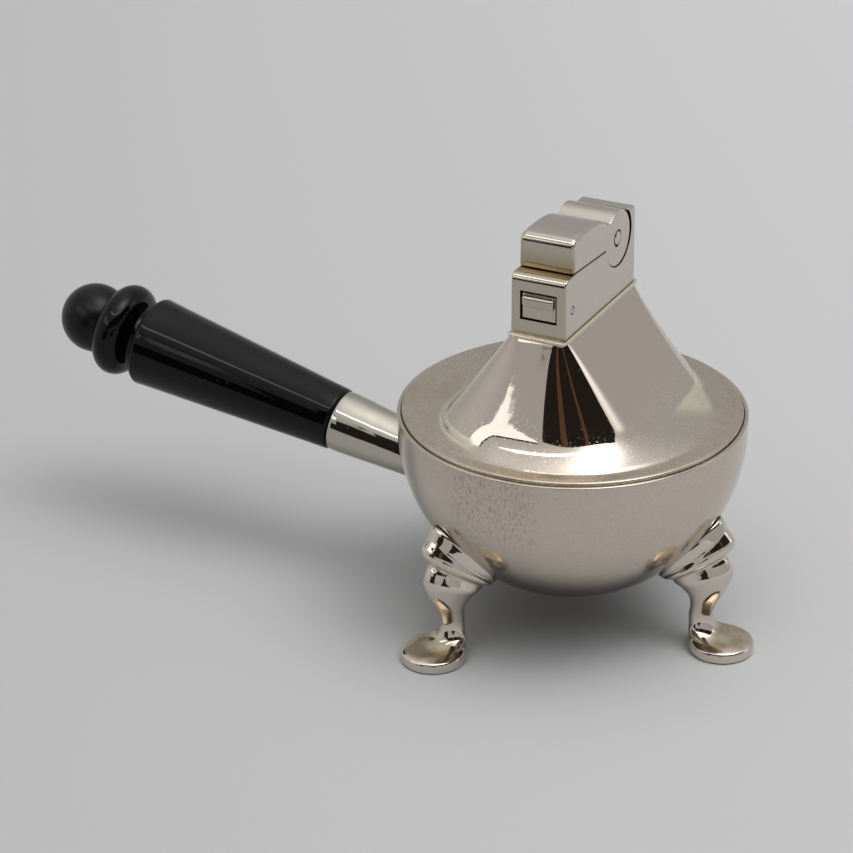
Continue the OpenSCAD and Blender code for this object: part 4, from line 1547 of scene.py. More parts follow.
@dataclass
class LegSet(Assembly):
    """Three cast legs with round pads, thin ankles, creased knees and collars."""

    bowl_radius: float = 40.0
    bowl_centre: float = 50.1
    seat_gap: float = 0.03
    foot_inset: float = 1.7
    pad: float = 7.5
    pad_height: float = 3.0
    ankle: float = 2.8
    knee: float = 5.8
    collar: float = 7.6
    crest: float = 0.22
    crest_rise: float = 6.0
    seat_angle: float = 38.7
    points: int = 56

    def rows(self) -> list[list[float]]:
        """Lays out the leg from the pad up.

        Returns:
            Rows of inner radius and height, outer radius and height, and half thickness.
        """
        p, h, a, k, c = self.pad, self.pad_height, self.ankle, self.knee, self.collar
        ring = self.bowl_radius - self.foot_inset
        pad_rows = (
            (-0.92, 0, 0.92, 0, 0.87),
            (-0.98, 0.08, 0.98, 0.08, 0.965),
            (-1, 0.25, 1, 0.25, 1),
            (-1, 0.62, 1, 0.62, 1),
            (-1.005, 0.82, 0.975, 0.8, 0.955),
            (-1.01, 0.95, 0.91, 0.9, 0.87),
            (-1.03, 1.25, 0.73, 0.98, 0.62),
            (-1.04, 1.6, 0.17, 1.1, 0.47),
            (-1.05, 2.1, -0.17, 1.55, 0.15),
        )
        rows = [
            [ring + p * r0, h * z0, ring + p * r1, h * z1, a + (p - a) * half]
            for r0, z0, r1, z1, half in pad_rows
        ]
        rows.append([ring - 1.07 * p, 7.9, ring - p + 5, 8.1, a])
        bowl_rows = (
            (13.5, 10, 8, 13.4, 1.07 * a),
            (12, 7.7, 3.6, 12.2, 1.36 * a),
            (12.2, 5, -0.4, 11.1, 0.84 * k),
            (12.7, 3.3, -2.7, 9.8, k),
            (13.3, 2.25, -4.3, 7.5, 0.98 * k),
            (13.7, 1.8, -4.9, 6.2, k),
            (15, 1.3, -7.8, 6.6, 0.92 * c),
            (15.4, 0.95, -10.4, 6, c),
            (15.6, 0.8, -11.7, 3.8, 0.95 * c),
            (15.9, 0.7, -12.3, 2.9, 0.99 * c),
            (16.2, 0.55, -14.4, 0.9, 1.01 * c),
            (15.9, 0.03, -14.1, 0.03, 0.99 * c),
        )
        for a0, d0, a1, d1, half in bowl_rows:
            rows.append([*self.from_bowl(a0, d0), *self.from_bowl(a1, d1), half])
        return smooth_rows(rows, 4)

    def from_bowl(self, angle: float, distance: float) -> Pair:
        """Returns radius and height of a point set out from the bowl."""
        t, r = math.radians(self.seat_angle + angle), self.bowl_radius + distance
        return (r * math.cos(t), self.bowl_centre - r * math.sin(t))

    def ring(self, row: Sequence[float], scale: float) -> list[Point]:
        """Lays out one ring of the leg, narrower on its crested side above the pad.

        Args:
            row: The ring's row.
            scale: The ring's share of its full size.

        Returns:
            The ring's points.
        """
        narrow = self.crest * ramp(row[3], self.pad_height, self.pad_height + self.crest_rise)
        points = []
        for t in circle(self.points):
            along = scale * math.cos(t)
            r = (row[0] + row[2]) / 2 + (row[2] - row[0]) / 2 * along
            z = (row[1] + row[3]) / 2 + (row[3] - row[1]) / 2 * along
            points.append((r, scale * row[4] * math.sin(t) * (1 - narrow * math.cos(t)), z))
        return points

    def on_bowl(self, ring: Sequence[Point]) -> list[Point]:
        """Pulls a ring onto the bowl's surface.

        Args:
            ring: The ring's points.

        Returns:
            The points on the bowl.
        """
        centre, reach = Vector((0, 0, self.bowl_centre)), self.bowl_radius + self.seat_gap
        ways = [(Vector(p) - centre).normalized() for p in ring]
        return [tuple(centre + way * reach) for way in ways]

    def build(self) -> None:
        """Builds the three legs."""
        rows = self.rows()
        rings = [self.ring(row, 1) for row in rows[:-1]]
        rings += [self.on_bowl(self.ring(rows[-1], s)) for s in (1, 0.68, 0.36, 0.1)]
        for name, angle in (("leg_right", 0), ("leg_back", 120), ("leg_front", 240)):
            leg = loft(f"cast_{name}", rings)
            leg.data.transform(Matrix.Rotation(math.radians(angle), 4, "Z"))
            self.mount(leg, Body.BASE, Slot.CASTING, self.finishes.leg, name)


@dataclass
class HandleSet(Assembly):
    """The metal ferrule and the turned black grip with its ring and ball."""

    bowl_radius: float = 40.0
    bowl_centre: float = 50.1
    seat_gap: float = 0.03
    tilt: float = 11.2
    drop: float = 17.4
    ferrule: float = 25.0
    joint: float = 15.1
    taper: float = 0.13
    wall: float = 0.8
    grip: float = 54.0
    end_round: float = 1.4
    bead: float = 23.0
    bead_width: float = 8.0
    bead_gap: float = 3.3
    ball: float = 17.0
    neck_inset: float = 2.3
    bore: float = 2.02
    bore_depth: float = 22.0
    steps: int = 128

    def axis(self) -> Matrix:
        """Finds the handle's place.

        Returns:
            The place, with +Z outwards along the handle and 0 at the bowl.
        """
        x = -math.sqrt(self.bowl_radius**2 - self.drop**2)
        place = Matrix.Translation((x, 0, self.bowl_centre - self.drop))
        return place @ Matrix.Rotation(math.radians(self.tilt - 90), 4, "Y")

    def radius(self, along: float) -> float:
        """Returns the cone's radius at a distance from the joint."""
        return (self.joint + self.taper * along) / 2

    def surface(self, along: float, out: float, turn: float) -> Vector:
        """Returns a point some way out from the cone, along it and at a turn about it."""
        r = self.radius(along - self.ferrule) + out
        return self.axis() @ Vector((r * math.cos(turn), r * math.sin(turn), along))

    def reach_bowl(self, turn: float, inset: float) -> float:
        """Finds where the cone meets the bowl.

        Args:
            turn: The turn about the handle's axis.
            inset: How far inside the cone's surface.

        Returns:
            The distance along the axis.
        """
        centre = Vector((0, 0, self.bowl_centre))
        low, high = -6.0, 12.0
        for _ in range(30):
            middle = (low + high) / 2
            away = (self.surface(middle, -inset, turn) - centre).length
            if away < self.bowl_radius + self.seat_gap:
                low = middle
            else:
                high = middle
        return high

    def ferrule_shell(self) -> bpy.types.Object:
        """Builds the ferrule, swelling where it meets the bowl and rounded at the joint.

        Returns:
            The ferrule.
        """
        root = (0.0, 0.12, 0.3, 0.55, 0.9, 1.4, 2.2, 3.2)
        swell = (0.34, 0.31, 0.2, 0.1, 0.04, 0.01, 0.0, 0.0)
        tip = (5.5, 3.0, 2.0, 1.3, 0.8, 0.4, 0.12, 0.0)
        drop = (0.0, 0.01, 0.035, 0.075, 0.12, 0.18, 0.27, 0.42)
        rings = []
        for turn in circle(self.steps):
            start = self.reach_bowl(turn, 0.0)
            outer = [(start + d, s) for d, s in zip(root, swell)]
            foot = outer[-1][0]
            span = self.ferrule - tip[0] - foot
            outer += [(foot + span * i / 8, 0.0) for i in range(1, 8)]
            outer += [(self.ferrule - d, -s) for d, s in zip(tip, drop)]
            inner = [(self.ferrule, -self.wall), (self.reach_bowl(turn, self.wall), -self.wall)]
            rings.append([tuple(self.surface(a, s, turn)) for a, s in outer + inner])
        piece = loft("turned_ferrule", rings, closed_ends=False)
        smooth_by_angle(piece, 50)
        return piece

    def grip_profile(self) -> list[Pair]:
        """Lays out the grip, from its bore at the joint to the end ball.

        Returns:
            Pairs of radius and height.
        """
        f, end, end_r = self.ferrule, self.ferrule + self.grip, self.radius(self.grip)
        half, r, soft = self.bead_width / 2, self.ball / 2, self.end_round
        bead_at = end + half + self.bead_gap
        ball_at, dip = bead_at + r, bead_at + half + 0.1
        neck = r - self.neck_inset
        return [
            (self.bore, f + 0.02),
            *arc((self.radius(0) - 0.9, f + 1.1), 1.0, 270, 352, 9),
            *((self.radius(s), f + s) for s in (5, 15, 25, 35, 45, self.grip - soft - 1)),
            *arc((end_r - soft, end - soft), soft, 0, 90, 10),
            (neck + 0.8, end),
            *arc((neck + 0.8, end + 0.8), 0.8, 270, 180, 4),
            (neck, bead_at - half - 0.3),
            *arc((self.bead / 2 - half, bead_at), half, -90, 90, 28),
            (neck + 0.6, dip),
            *arc((0, ball_at), r, math.degrees(math.asin((dip - ball_at) / r)), 90, 36)[:-1],
            (0.0, ball_at + r),
            (0.0, f + self.bore_depth),
            (self.bore, f + self.bore_depth),
        ]

    def build(self) -> None:
        """Builds ferrule and grip."""
        ferrule = self.ferrule_shell()
        self.mount(ferrule, Body.BASE, Slot.CASTING, self.finishes.ferrule, "ferrule")
        self.dress_nodes(self.finishes.steel, "handle_screw")
        grip = lathe("turned_grip", self.grip_profile(), self.steps, self.axis())
        self.mount(grip, Body.BASE, Slot.BLACK, self.finishes.black, "handle_grip")


@dataclass
class CoverShell(Assembly):
    """The flared cover, from its square lip down to the skirt inside the rim.

    A row is half the size along X and Y, the corner radius and the height of one ring.
    """

    neck_z: float = 79.0
    rim_z: float = 53.5
    lip: float = 0.7
    lip_round: float = 0.8
    neck: Pair = (7.0, 20.2)
    neck_round: float = 2.8
    bore: Point = (5.77, 17.82, 2.0)
    foot: Pair = (23.9, 31.8)
    foot_round: float = 18.4
    foot_rise: float = 2.5
    sag: float = 0.09
    round_growth: float = 0.85
    plate_rise: float = 0.9
    plate_inset: float = 2.5
    wall: float = 0.8
    radius: float = 38.95
    skirt_z: float = 50.3
    least_round: float = 0.4
    corner: int = 48
    flare_steps: int = 32
    soft_start: float = 0.8
    soft_corner: float = 0.96
    soft_end: Pair = (0.72, 0.42)
    meeting: Pair = (0.79, 0.1)
    soft_from: Pair = (-26.0, -6.0)
    soft_to: Pair = (124.0, 94.0)

    def flare_row(self, s: float) -> list[float]:
        """Lays out a row of the flare.

        Args:
            s: The row's share of the way down.

        Returns:
            The row.
        """
        top, low = self.neck_z - self.lip - 0.1, self.rim_z + self.foot_rise
        fall = (1 - s) - self.sag * s * (1 - s)
        return [
            self.neck[0] + (self.foot[0] - self.neck[0]) * s,
            self.neck[1] + (self.foot[1] - self.neck[1]) * s,
            self.neck_round + (self.foot_round - self.neck_round) * s**self.round_growth,
            low + (top - low) * fall,
        ]

    def plate_row(self, share: float, rise: float) -> list[float]:
        """Returns a row on the plate, for a share of the way from the foot to its edge."""
        plate, start = self.radius - self.plate_inset, [*self.foot, self.foot_round]
        return [*(a + (plate - a) * share for a in start), self.rim_z + rise]

    def meeting_row(self) -> list[float]:
        """Returns the row on the plate where the soft and the folded foot meet."""
        return self.plate_row(self.meeting[0], self.plate_rise + self.meeting[1])

    def soft_foot(self) -> list[list[float]]:
        """Lays out the wide hollow where the front of the flare meets the plate.

        Returns:
            Its rows.
        """
        start, corner = self.flare_row(self.soft_start), self.flare_row(self.soft_corner)
        end = self.plate_row(self.soft_end[0], self.plate_rise + self.soft_end[1])
        rows = []
        for t in (i / 11 for i in range(1, 12)):
            shares = ((1 - t) ** 2, 2 * t * (1 - t), t * t)
            rows.append([sum(map(float.__mul__, shares, ends)) for ends in zip(start, corner, end)])
        return [*rows, self.meeting_row()]

    def crisp_foot(self) -> list[list[float]]:
        """Lays out the folded corners, where the flare keeps its line to the foot.

        Returns:
            Their rows, as many as the soft foot has.
        """
        left, drop = 1 - self.soft_start, self.foot_rise - self.plate_rise
        rows = [self.flare_row(self.soft_start + left * i / 6) for i in range(1, 7)]
        for share, height in ((0.02, 0.8), (0.05, 0.58), (0.1, 0.36), (0.25, 0.2), (0.5, 0.1)):
            rows.append(self.plate_row(share, self.plate_rise + drop * height))
        return [*rows, self.meeting_row()]

    def softness(self, point: Point) -> float:
        """Finds how far the foot is soft at a point.

        Args:
            point: The point.

        Returns:
            1 in front, and 0 at the folded corners.
        """
        turn = math.degrees(math.atan2(point[0], -point[1]))
        share = ramp(turn, *self.soft_from) * ramp(turn, *self.soft_to)
        return share * share * (3 - 2 * share)

    def ring(self, row: Sequence[float], inset: float = 0.0) -> list[Point]:
        """Returns a row's ring, moved in and down by an inset."""
        a, b, r, z = row
        return rounded_ring(
            a - inset, b - inset, max(r - inset, self.least_round), z - inset, self.corner
        )

    def foot_rings(self, inset: float) -> list[list[Point]]:
        """Lays out the flare's foot, between the soft and the folded form.

        Args:
            inset: How far the rings are moved in and down.

        Returns:
            The rings.
        """
        rings = []
        for soft, crisp in zip(self.soft_foot(), self.crisp_foot()):
            ring = []
            for one, other in zip(self.ring(soft, inset), self.ring(crisp, inset)):
                share = self.softness(one)
                ring.append(tuple(o + (i - o) * share for i, o in zip(one, other)))
            rings.append(ring)
        return rings

    def rings(self, inset: float) -> list[list[Point]]:
        """Lays out everything below the lip.

        Args:
            inset: How far the rings are moved in and down, such as by the sheet's thickness.

        Returns:
            The rings.
        """
        steps = self.flare_steps
        upper = [self.flare_row(self.soft_start * i / steps) for i in range(steps + 1)]
        edge = [self.meeting_row(), self.plate_row(1.0, self.plate_rise)]
        for inward, z in ((0.8, 0.78), (0.25, 0.64), (0.05, 0.38), (0.0, -0.2)):
            edge.append([self.radius - inward] * 3 + [self.rim_z + z])
        return [
            *(self.ring(row, inset) for row in upper),
            *self.foot_rings(inset),
            *(self.ring(row, inset) for row in smooth_rows(edge, 5)[1:]),
        ]

    def build(self) -> None:
        """Builds and dresses the cover."""
        x, y, low, soft = *self.neck, self.neck_z - self.lip, self.lip_round
        lip_rows = (
            (x - 0.35, y - 0.5, soft, self.neck_z),
            (x - 0.16, y - 0.2, soft, self.neck_z - 0.03),
            (x - 0.03, y - 0.05, soft, self.neck_z - 0.12),
            (x, y, soft, self.neck_z - 0.25),
            (x, y, soft + 0.2, low + 0.12),
            (x - 0.06, y - 0.06, soft + 0.6, low),
        )
        inside = self.radius - self.wall
        outer = [*map(self.ring, lip_rows), *self.rings(0.0)]
        outer.append(self.ring([*[self.radius] * 3, self.skirt_z]))
        inner = [self.ring([*self.bore, self.neck_z]), *self.rings(self.wall)]
        inner.append(self.ring([*[inside] * 3, self.skirt_z]))
        cover = loft("flared_cover", [*outer, *reversed(inner)], closed_ends=False)
        smooth_by_angle(cover, 40)
        self.mount(cover, Body.UNIT, Slot.SHEET, self.finishes.cover, "cover")


@dataclass
class WorksSizes:
    """The sizes that the lighter's castings share."""

    width: float = 13.1
    length: float = 37.6
    neck_z: float = 79.0
    deck_z: float = 93.0
    ledge: float = 4.2
    pivot_back: float = 9.5
    hub: float = 6.5
    hub_inner: float = 5.3
    hub_gap: float = 0.3
    seam_slope: float = 0.9 / 16
    pin: float = 3.2
    button_pin: float = 1.6
    button_back: float = 3.6
    button_up: float = 6.0
    wick_ahead: float = 12.8

    @property
    def front_y(self) -> float:
        """Returns the front of the frame."""
        return -self.length / 2

    @property
    def arm_front(self) -> float:
        """Returns the front of the arm."""
        return self.front_y + self.ledge

    @property
    def pivot(self) -> Pair:
        """Returns the place of the arm's pin."""
        return (self.length / 2 - self.pivot_back, self.deck_z)

    @property
    def button_pivot(self) -> Pair:
        """Returns the place of the button's pin."""
        return (self.front_y + self.button_back, self.neck_z + self.button_up)

    @property
    def wick_y(self) -> float:
        """Returns the place of the wick."""
        return self.pivot[0] - self.wick_ahead

    def seam(self, y: float) -> float:
        """Returns the height of the seam under the arm."""
        return self.deck_z - (y - self.arm_front) * self.seam_slope


@dataclass
class FrameCasting(Assembly):
    """The lighter's frame: a block with a trough, a well and a window for the button."""

    sizes: WorksSizes
    fillet: float = 1.7
    back: float = 4.7
    side_round: float = 0.4
    low_round: Pair = (0.4, 0.22)
    seam_round: Pair = (0.3, 0.25)
    crown_round: Pair = (0.7, 0.6)
    crown: float = 1.0
    spigot: Pair = (5.75, 17.8)
    spigot_depth: float = 2.0
    plug: Pair = (4.98, 16.98)
    plug_depth: float = 1.5
    sink: float = 0.5
    trough_extra: float = 0.22
    well_ahead: float = 9.2
    pocket: float = 4.6
    window_up: float = 3.4
    window_height: float = 6.8
    lug: float = 4.4
    lug_half: float = 0.525
    lug_x: float = 3.775
    through: float = 12.0
    bore_top: float = 92.0

    def outline(self) -> tuple[list[Pair], list[Pair]]:
        """Lays out the side view.

        Returns:
            The outline, and the rounding at each of its points.
        """
        s, even = self.sizes, (self.side_round, self.side_round)
        front, back, top = s.front_y, s.length / 2, s.deck_z + self.back
        pivot, turn = s.pivot[0], self.crown
        fillet = arc((front + self.fillet, s.deck_z - self.fillet), self.fillet, 180, 90, 9)
        seam = [(y, s.seam(y)) for y in (s.arm_front, -8.0, -2.0, 3.0, pivot)]
        crown = arc((back - turn, top - turn), turn, 90, 0, 8)
        points = [(front, s.neck_z), *fillet, *seam, (pivot, top), *crown, (back, s.neck_z)]
        rounds = [self.low_round, *[even] * len(fillet), *[self.seam_round] * len(seam)]
        rounds += [even, *[self.crown_round] * len(crown), self.low_round]
        return points, rounds

    def lugs(self) -> list[bpy.types.Object]:
        """Builds the two lugs that hold the arm's pin inside the trough.

        Returns:
            The lugs.
        """
        s, half = self.sizes, self.lug_half
        (y0, z0), trough = s.pivot, s.hub + s.hub_gap
        lugs = []
        for x in (-self.lug_x, self.lug_x):
            lug = cross_rod("lug", s.pivot, self.lug, half, 48, x)
            stem = side_box("stem", half, (y0 - 3.6, y0 + 2.4), (z0 - trough - 1, z0))
            stem.data.transform(Matrix.Translation((x * MM, 0, 0)))
            carve(lug, (stem,), Carving.JOIN)
            lugs.append(lug)
        return lugs

    def build(self) -> None:
        """Builds the frame."""
        s, through = self.sizes, self.through
        (y0, z0), tank_z = s.pivot, s.neck_z - self.spigot_depth
        block = rounded_prism("lighter_frame_casting", *self.outline(), s.width / 2)
        spigot = upright_block("spigot", self.spigot, 2.4, tank_z, s.neck_z + self.sink)
        plug_z = tank_z - self.plug_depth
        plug = upright_block("plug", self.plug, 1.5, plug_z, tank_z + self.sink)
        carve(block, (spigot, plug), Carving.JOIN)
        well, pocket = s.front_y + self.well_ahead, s.front_y + self.pocket
        window, trough = s.neck_z + self.window_up, s.hub + s.hub_gap
        floor, wide = s.neck_z + 6.5, trough + self.trough_extra
        hollows = (
            cross_rod("trough", (y0 + 0.32, z0 + 0.16), wide, through, 120),
            side_box("well", 4.6, (well, y0 - trough + 1.2), (floor, s.deck_z + 6.5)),
            side_box("slot", 2.6, (pocket, well + HAIR), (window, s.deck_z + 3.4)),
            side_box(
                "window",
                4.4,
                (s.front_y - 1, pocket + HAIR),
                (window, window + self.window_height),
            ),
        )
        carve(block, hollows)
        carve(block, self.lugs(), Carving.JOIN)
        low, high = tank_z - 2.5, self.bore_top
        bores = (
            cross_rod("pin_hole", s.pivot, s.pin / 2 + 0.02, through, 48),
            cross_rod("button_hole", s.button_pivot, 0.82, through, 32),
            cross_rod("button_ring", s.button_pivot, 1.02, 0.2, 32, 6.45),
            upright_rod("wick_hole", s.wick_y, 1.72, low, high),
            upright_rod("flint_hole", y0, 2.02, low, high),
        )
        carve(block, bores)
        soften_edges(block, 0.09, 46)
        self.mount(block, Body.UNIT, Slot.CASTING, self.finishes.works, "lighter_frame")


@dataclass
class LiftArm(Assembly):
    """The arm: a hollow domed hood that runs back into a round hub."""

    sizes: WorksSizes
    width: float = 12.9
    height: float = 8.0
    roof: float = 1.5
    wall: float = 1.25
    front_wall: float = 1.3
    cheek: float = 4.45
    front_round: float = 1.9
    gap: float = 0.22
    catch_up: float = 1.6
    ring_extra: float = 0.42

    def outline(self) -> tuple[list[Pair], list[Pair]]:
        """Lays out the side view.

        Returns:
            The outline, and the rounding at each of its points.
        """
        s, turn = self.sizes, self.front_round
        y0, z0 = s.pivot
        low, top = s.arm_front, s.deck_z + self.height
        nose = arc((low + turn, top - 0.1 - turn), turn, 180, 97, 8)
        ridge = (
            nose[-1],
            (low + 3.6, top + 0.1),
            (low + 5.6, top + 0.17),
            (low + 9.6, top + 0.12),
            (y0 - 10.3, top - 0.4),
            (y0 - 7.5, top - 1.4),
            (y0 - 5.8, z0 + 5.4),
            (y0 - 4.7, z0 + 5.02),
            (y0 - 3.98, z0 + 5.14),
        )
        roof = smooth_rows(ridge, 3)[1:]
        hub = arc(s.pivot, s.hub, 126, -174, 90)
        under = [(y, s.seam(y) + self.gap) for y in (0.5, -4.0, -9.0)]
        points = [(low, s.seam(low) + self.gap + 0.02), *nose, *roof, *hub, *under]
        rounds = [(0.5, 0.25), *[(0.75, 0.6)] * 4, *[(1.1, 0.8)] * (len(nose) - 4)]
        for share in (i / len(roof) for i in range(len(roof))):
            rounds.append((1.5 - 1.2 * max(0, share - 0.5), 0.85 - 0.8 * max(0, 2 * share - 1)))
        rounds += [*[(0.14, 0.12)] * len(hub), *[(0.25, 0.2)] * len(under)]
        return points, rounds

    def hollow(self, back: float) -> list[Pair]:
        """Lays out the hood's hollow.

        Args:
            back: Where the hollow ends.

        Returns:
            Its side view.
        """
        s = self.sizes
        y0, deck, front = s.pivot[0], s.deck_z, s.arm_front + self.front_wall
        ceiling = deck + self.height - self.roof
        return [
            (front, deck - 8),
            (front, ceiling - 0.8),
            (front + 0.8, ceiling),
            (y0 - 10.6, ceiling),
            (y0 - 7.6, min(ceiling - 0.9, deck + 4.6)),
            (back, deck + 3.6),
            (back, deck - 8),
        ]

    def build(self) -> None:
        """Builds the arm."""
        s, half = self.sizes, self.width / 2
        y0, z0 = s.pivot
        arm = rounded_prism("lift_arm_hood", *self.outline(), half)
        far, slope = s.hub + 3, (0.866, 0.5)
        open_part = [(0, 0), (far * slope[0], far * slope[1]), (far, 0), (far, -far)]
        open_part += [(-far, -far), (-far, -0.3)]
        ring_at, ring_r = (y0 - 0.2, z0), s.pin / 2 + self.ring_extra
        hollows = (
            prism("hollow", self.hollow(y0 - s.hub - 0.4), half - self.wall),
            prism("cheeks", self.hollow(y0 - 3), self.cheek),
            cross_rod("hub_hollow", s.pivot, s.hub_inner, self.cheek, 72),
            prism("hub_opening", [(y0 + a, z0 + b) for a, b in open_part], self.cheek),
            cross_rod("pin_hole", s.pivot, s.pin / 2 + 0.05, 12, 48),
            cross_rod("pin_ring", ring_at, ring_r, 0.45, 48, half),
            cross_rod("pin_ring_left", ring_at, ring_r, 0.45, 48, -half),
        )
        carve(arm, hollows)
        latch, front = s.deck_z + self.catch_up, s.arm_front + self.front_wall
        catch = side_box("catch", 2.2, (front - HAIR, front + 0.4), (latch - 0.8, latch))
        carve(arm, (catch,), Carving.JOIN)
        soften_edges(arm, 0.08, 50)
        self.mount(arm, Body.ARM, Slot.CASTING, self.finishes.works, "arm")


@dataclass
class RockingButton(Assembly):
    """The button: a plate with a rounded bar, and the finger that holds the arm."""

    sizes: WorksSizes
    half: float = 4.05
    plate_z: Pair = (3.85, 9.6)
    plate_y: Pair = (0.3, 1.4)
    boss: float = 1.7
    bore: float = 0.85
    finger_half: float = 2.2
    finger_back: float = 2.5
    finger_wall: float = 0.9
    nose_up: float = 1.8
    nose_back: float = 2.05
    nose_wall: float = 0.8

    def bar(self) -> bpy.types.Object:
        """Builds the raised bar that the finger presses.

        Returns:
            The bar.
        """
        front, neck = self.sizes.front_y, self.sizes.neck_z
        outline = [
            (front + 0.5, neck + 6.75),
            (front - 0.35, neck + 6.85),
            *arc((front - 0.3, neck + 7.3), 0.45, 260, 180, 4),
            *arc((front - 0.15, neck + 8.6), 0.6, 180, 95, 5),
            (front + 0.5, neck + 9.36),
        ]
        return rounded_prism("bar", outline, [(0.45, 0.4)] * len(outline), self.half - 0.3)

    def build(self) -> None:
        """Builds the button."""
        s, half, wall = self.sizes, self.finger_half, self.finger_wall
        low, high = (s.neck_z + z for z in self.plate_z)
        face, back = (s.front_y + y for y in self.plate_y)
        plate = [(face, low), (face, high), (back, high), (back, low)]
        button = rounded_prism("rocking_button", plate, [(0.25, 0.22)] * 4, self.half)
        pin_y, pin_z = s.button_pivot
        finger, reach = s.arm_front + self.finger_back, s.arm_front + self.nose_back
        nose, top = s.deck_z + self.nose_up, s.deck_z + self.nose_up + self.nose_wall
        stop, foot = finger + wall, pin_z - wall
        parts = (
            self.bar(),
            cross_rod("boss", s.button_pivot, self.boss, half, 48),
            side_box("web", half, (back - HAIR, pin_y), (pin_z - self.boss, pin_z + self.boss)),
            side_box("tail", half, (pin_y, stop), (foot, pin_z + wall)),
            side_box("finger", half, (finger, stop), (foot + HAIR, top)),
            side_box("nose", half - HAIR, (reach, stop - HAIR), (nose, top - HAIR)),
        )
        carve(button, parts, Carving.JOIN)
        carve(button, (cross_rod("hole", s.button_pivot, self.bore, 9, 32),))
        soften_edges(button, 0.07, 50)
        self.mount(button, Body.BUTTON, Slot.CASTING, self.finishes.works, "button")


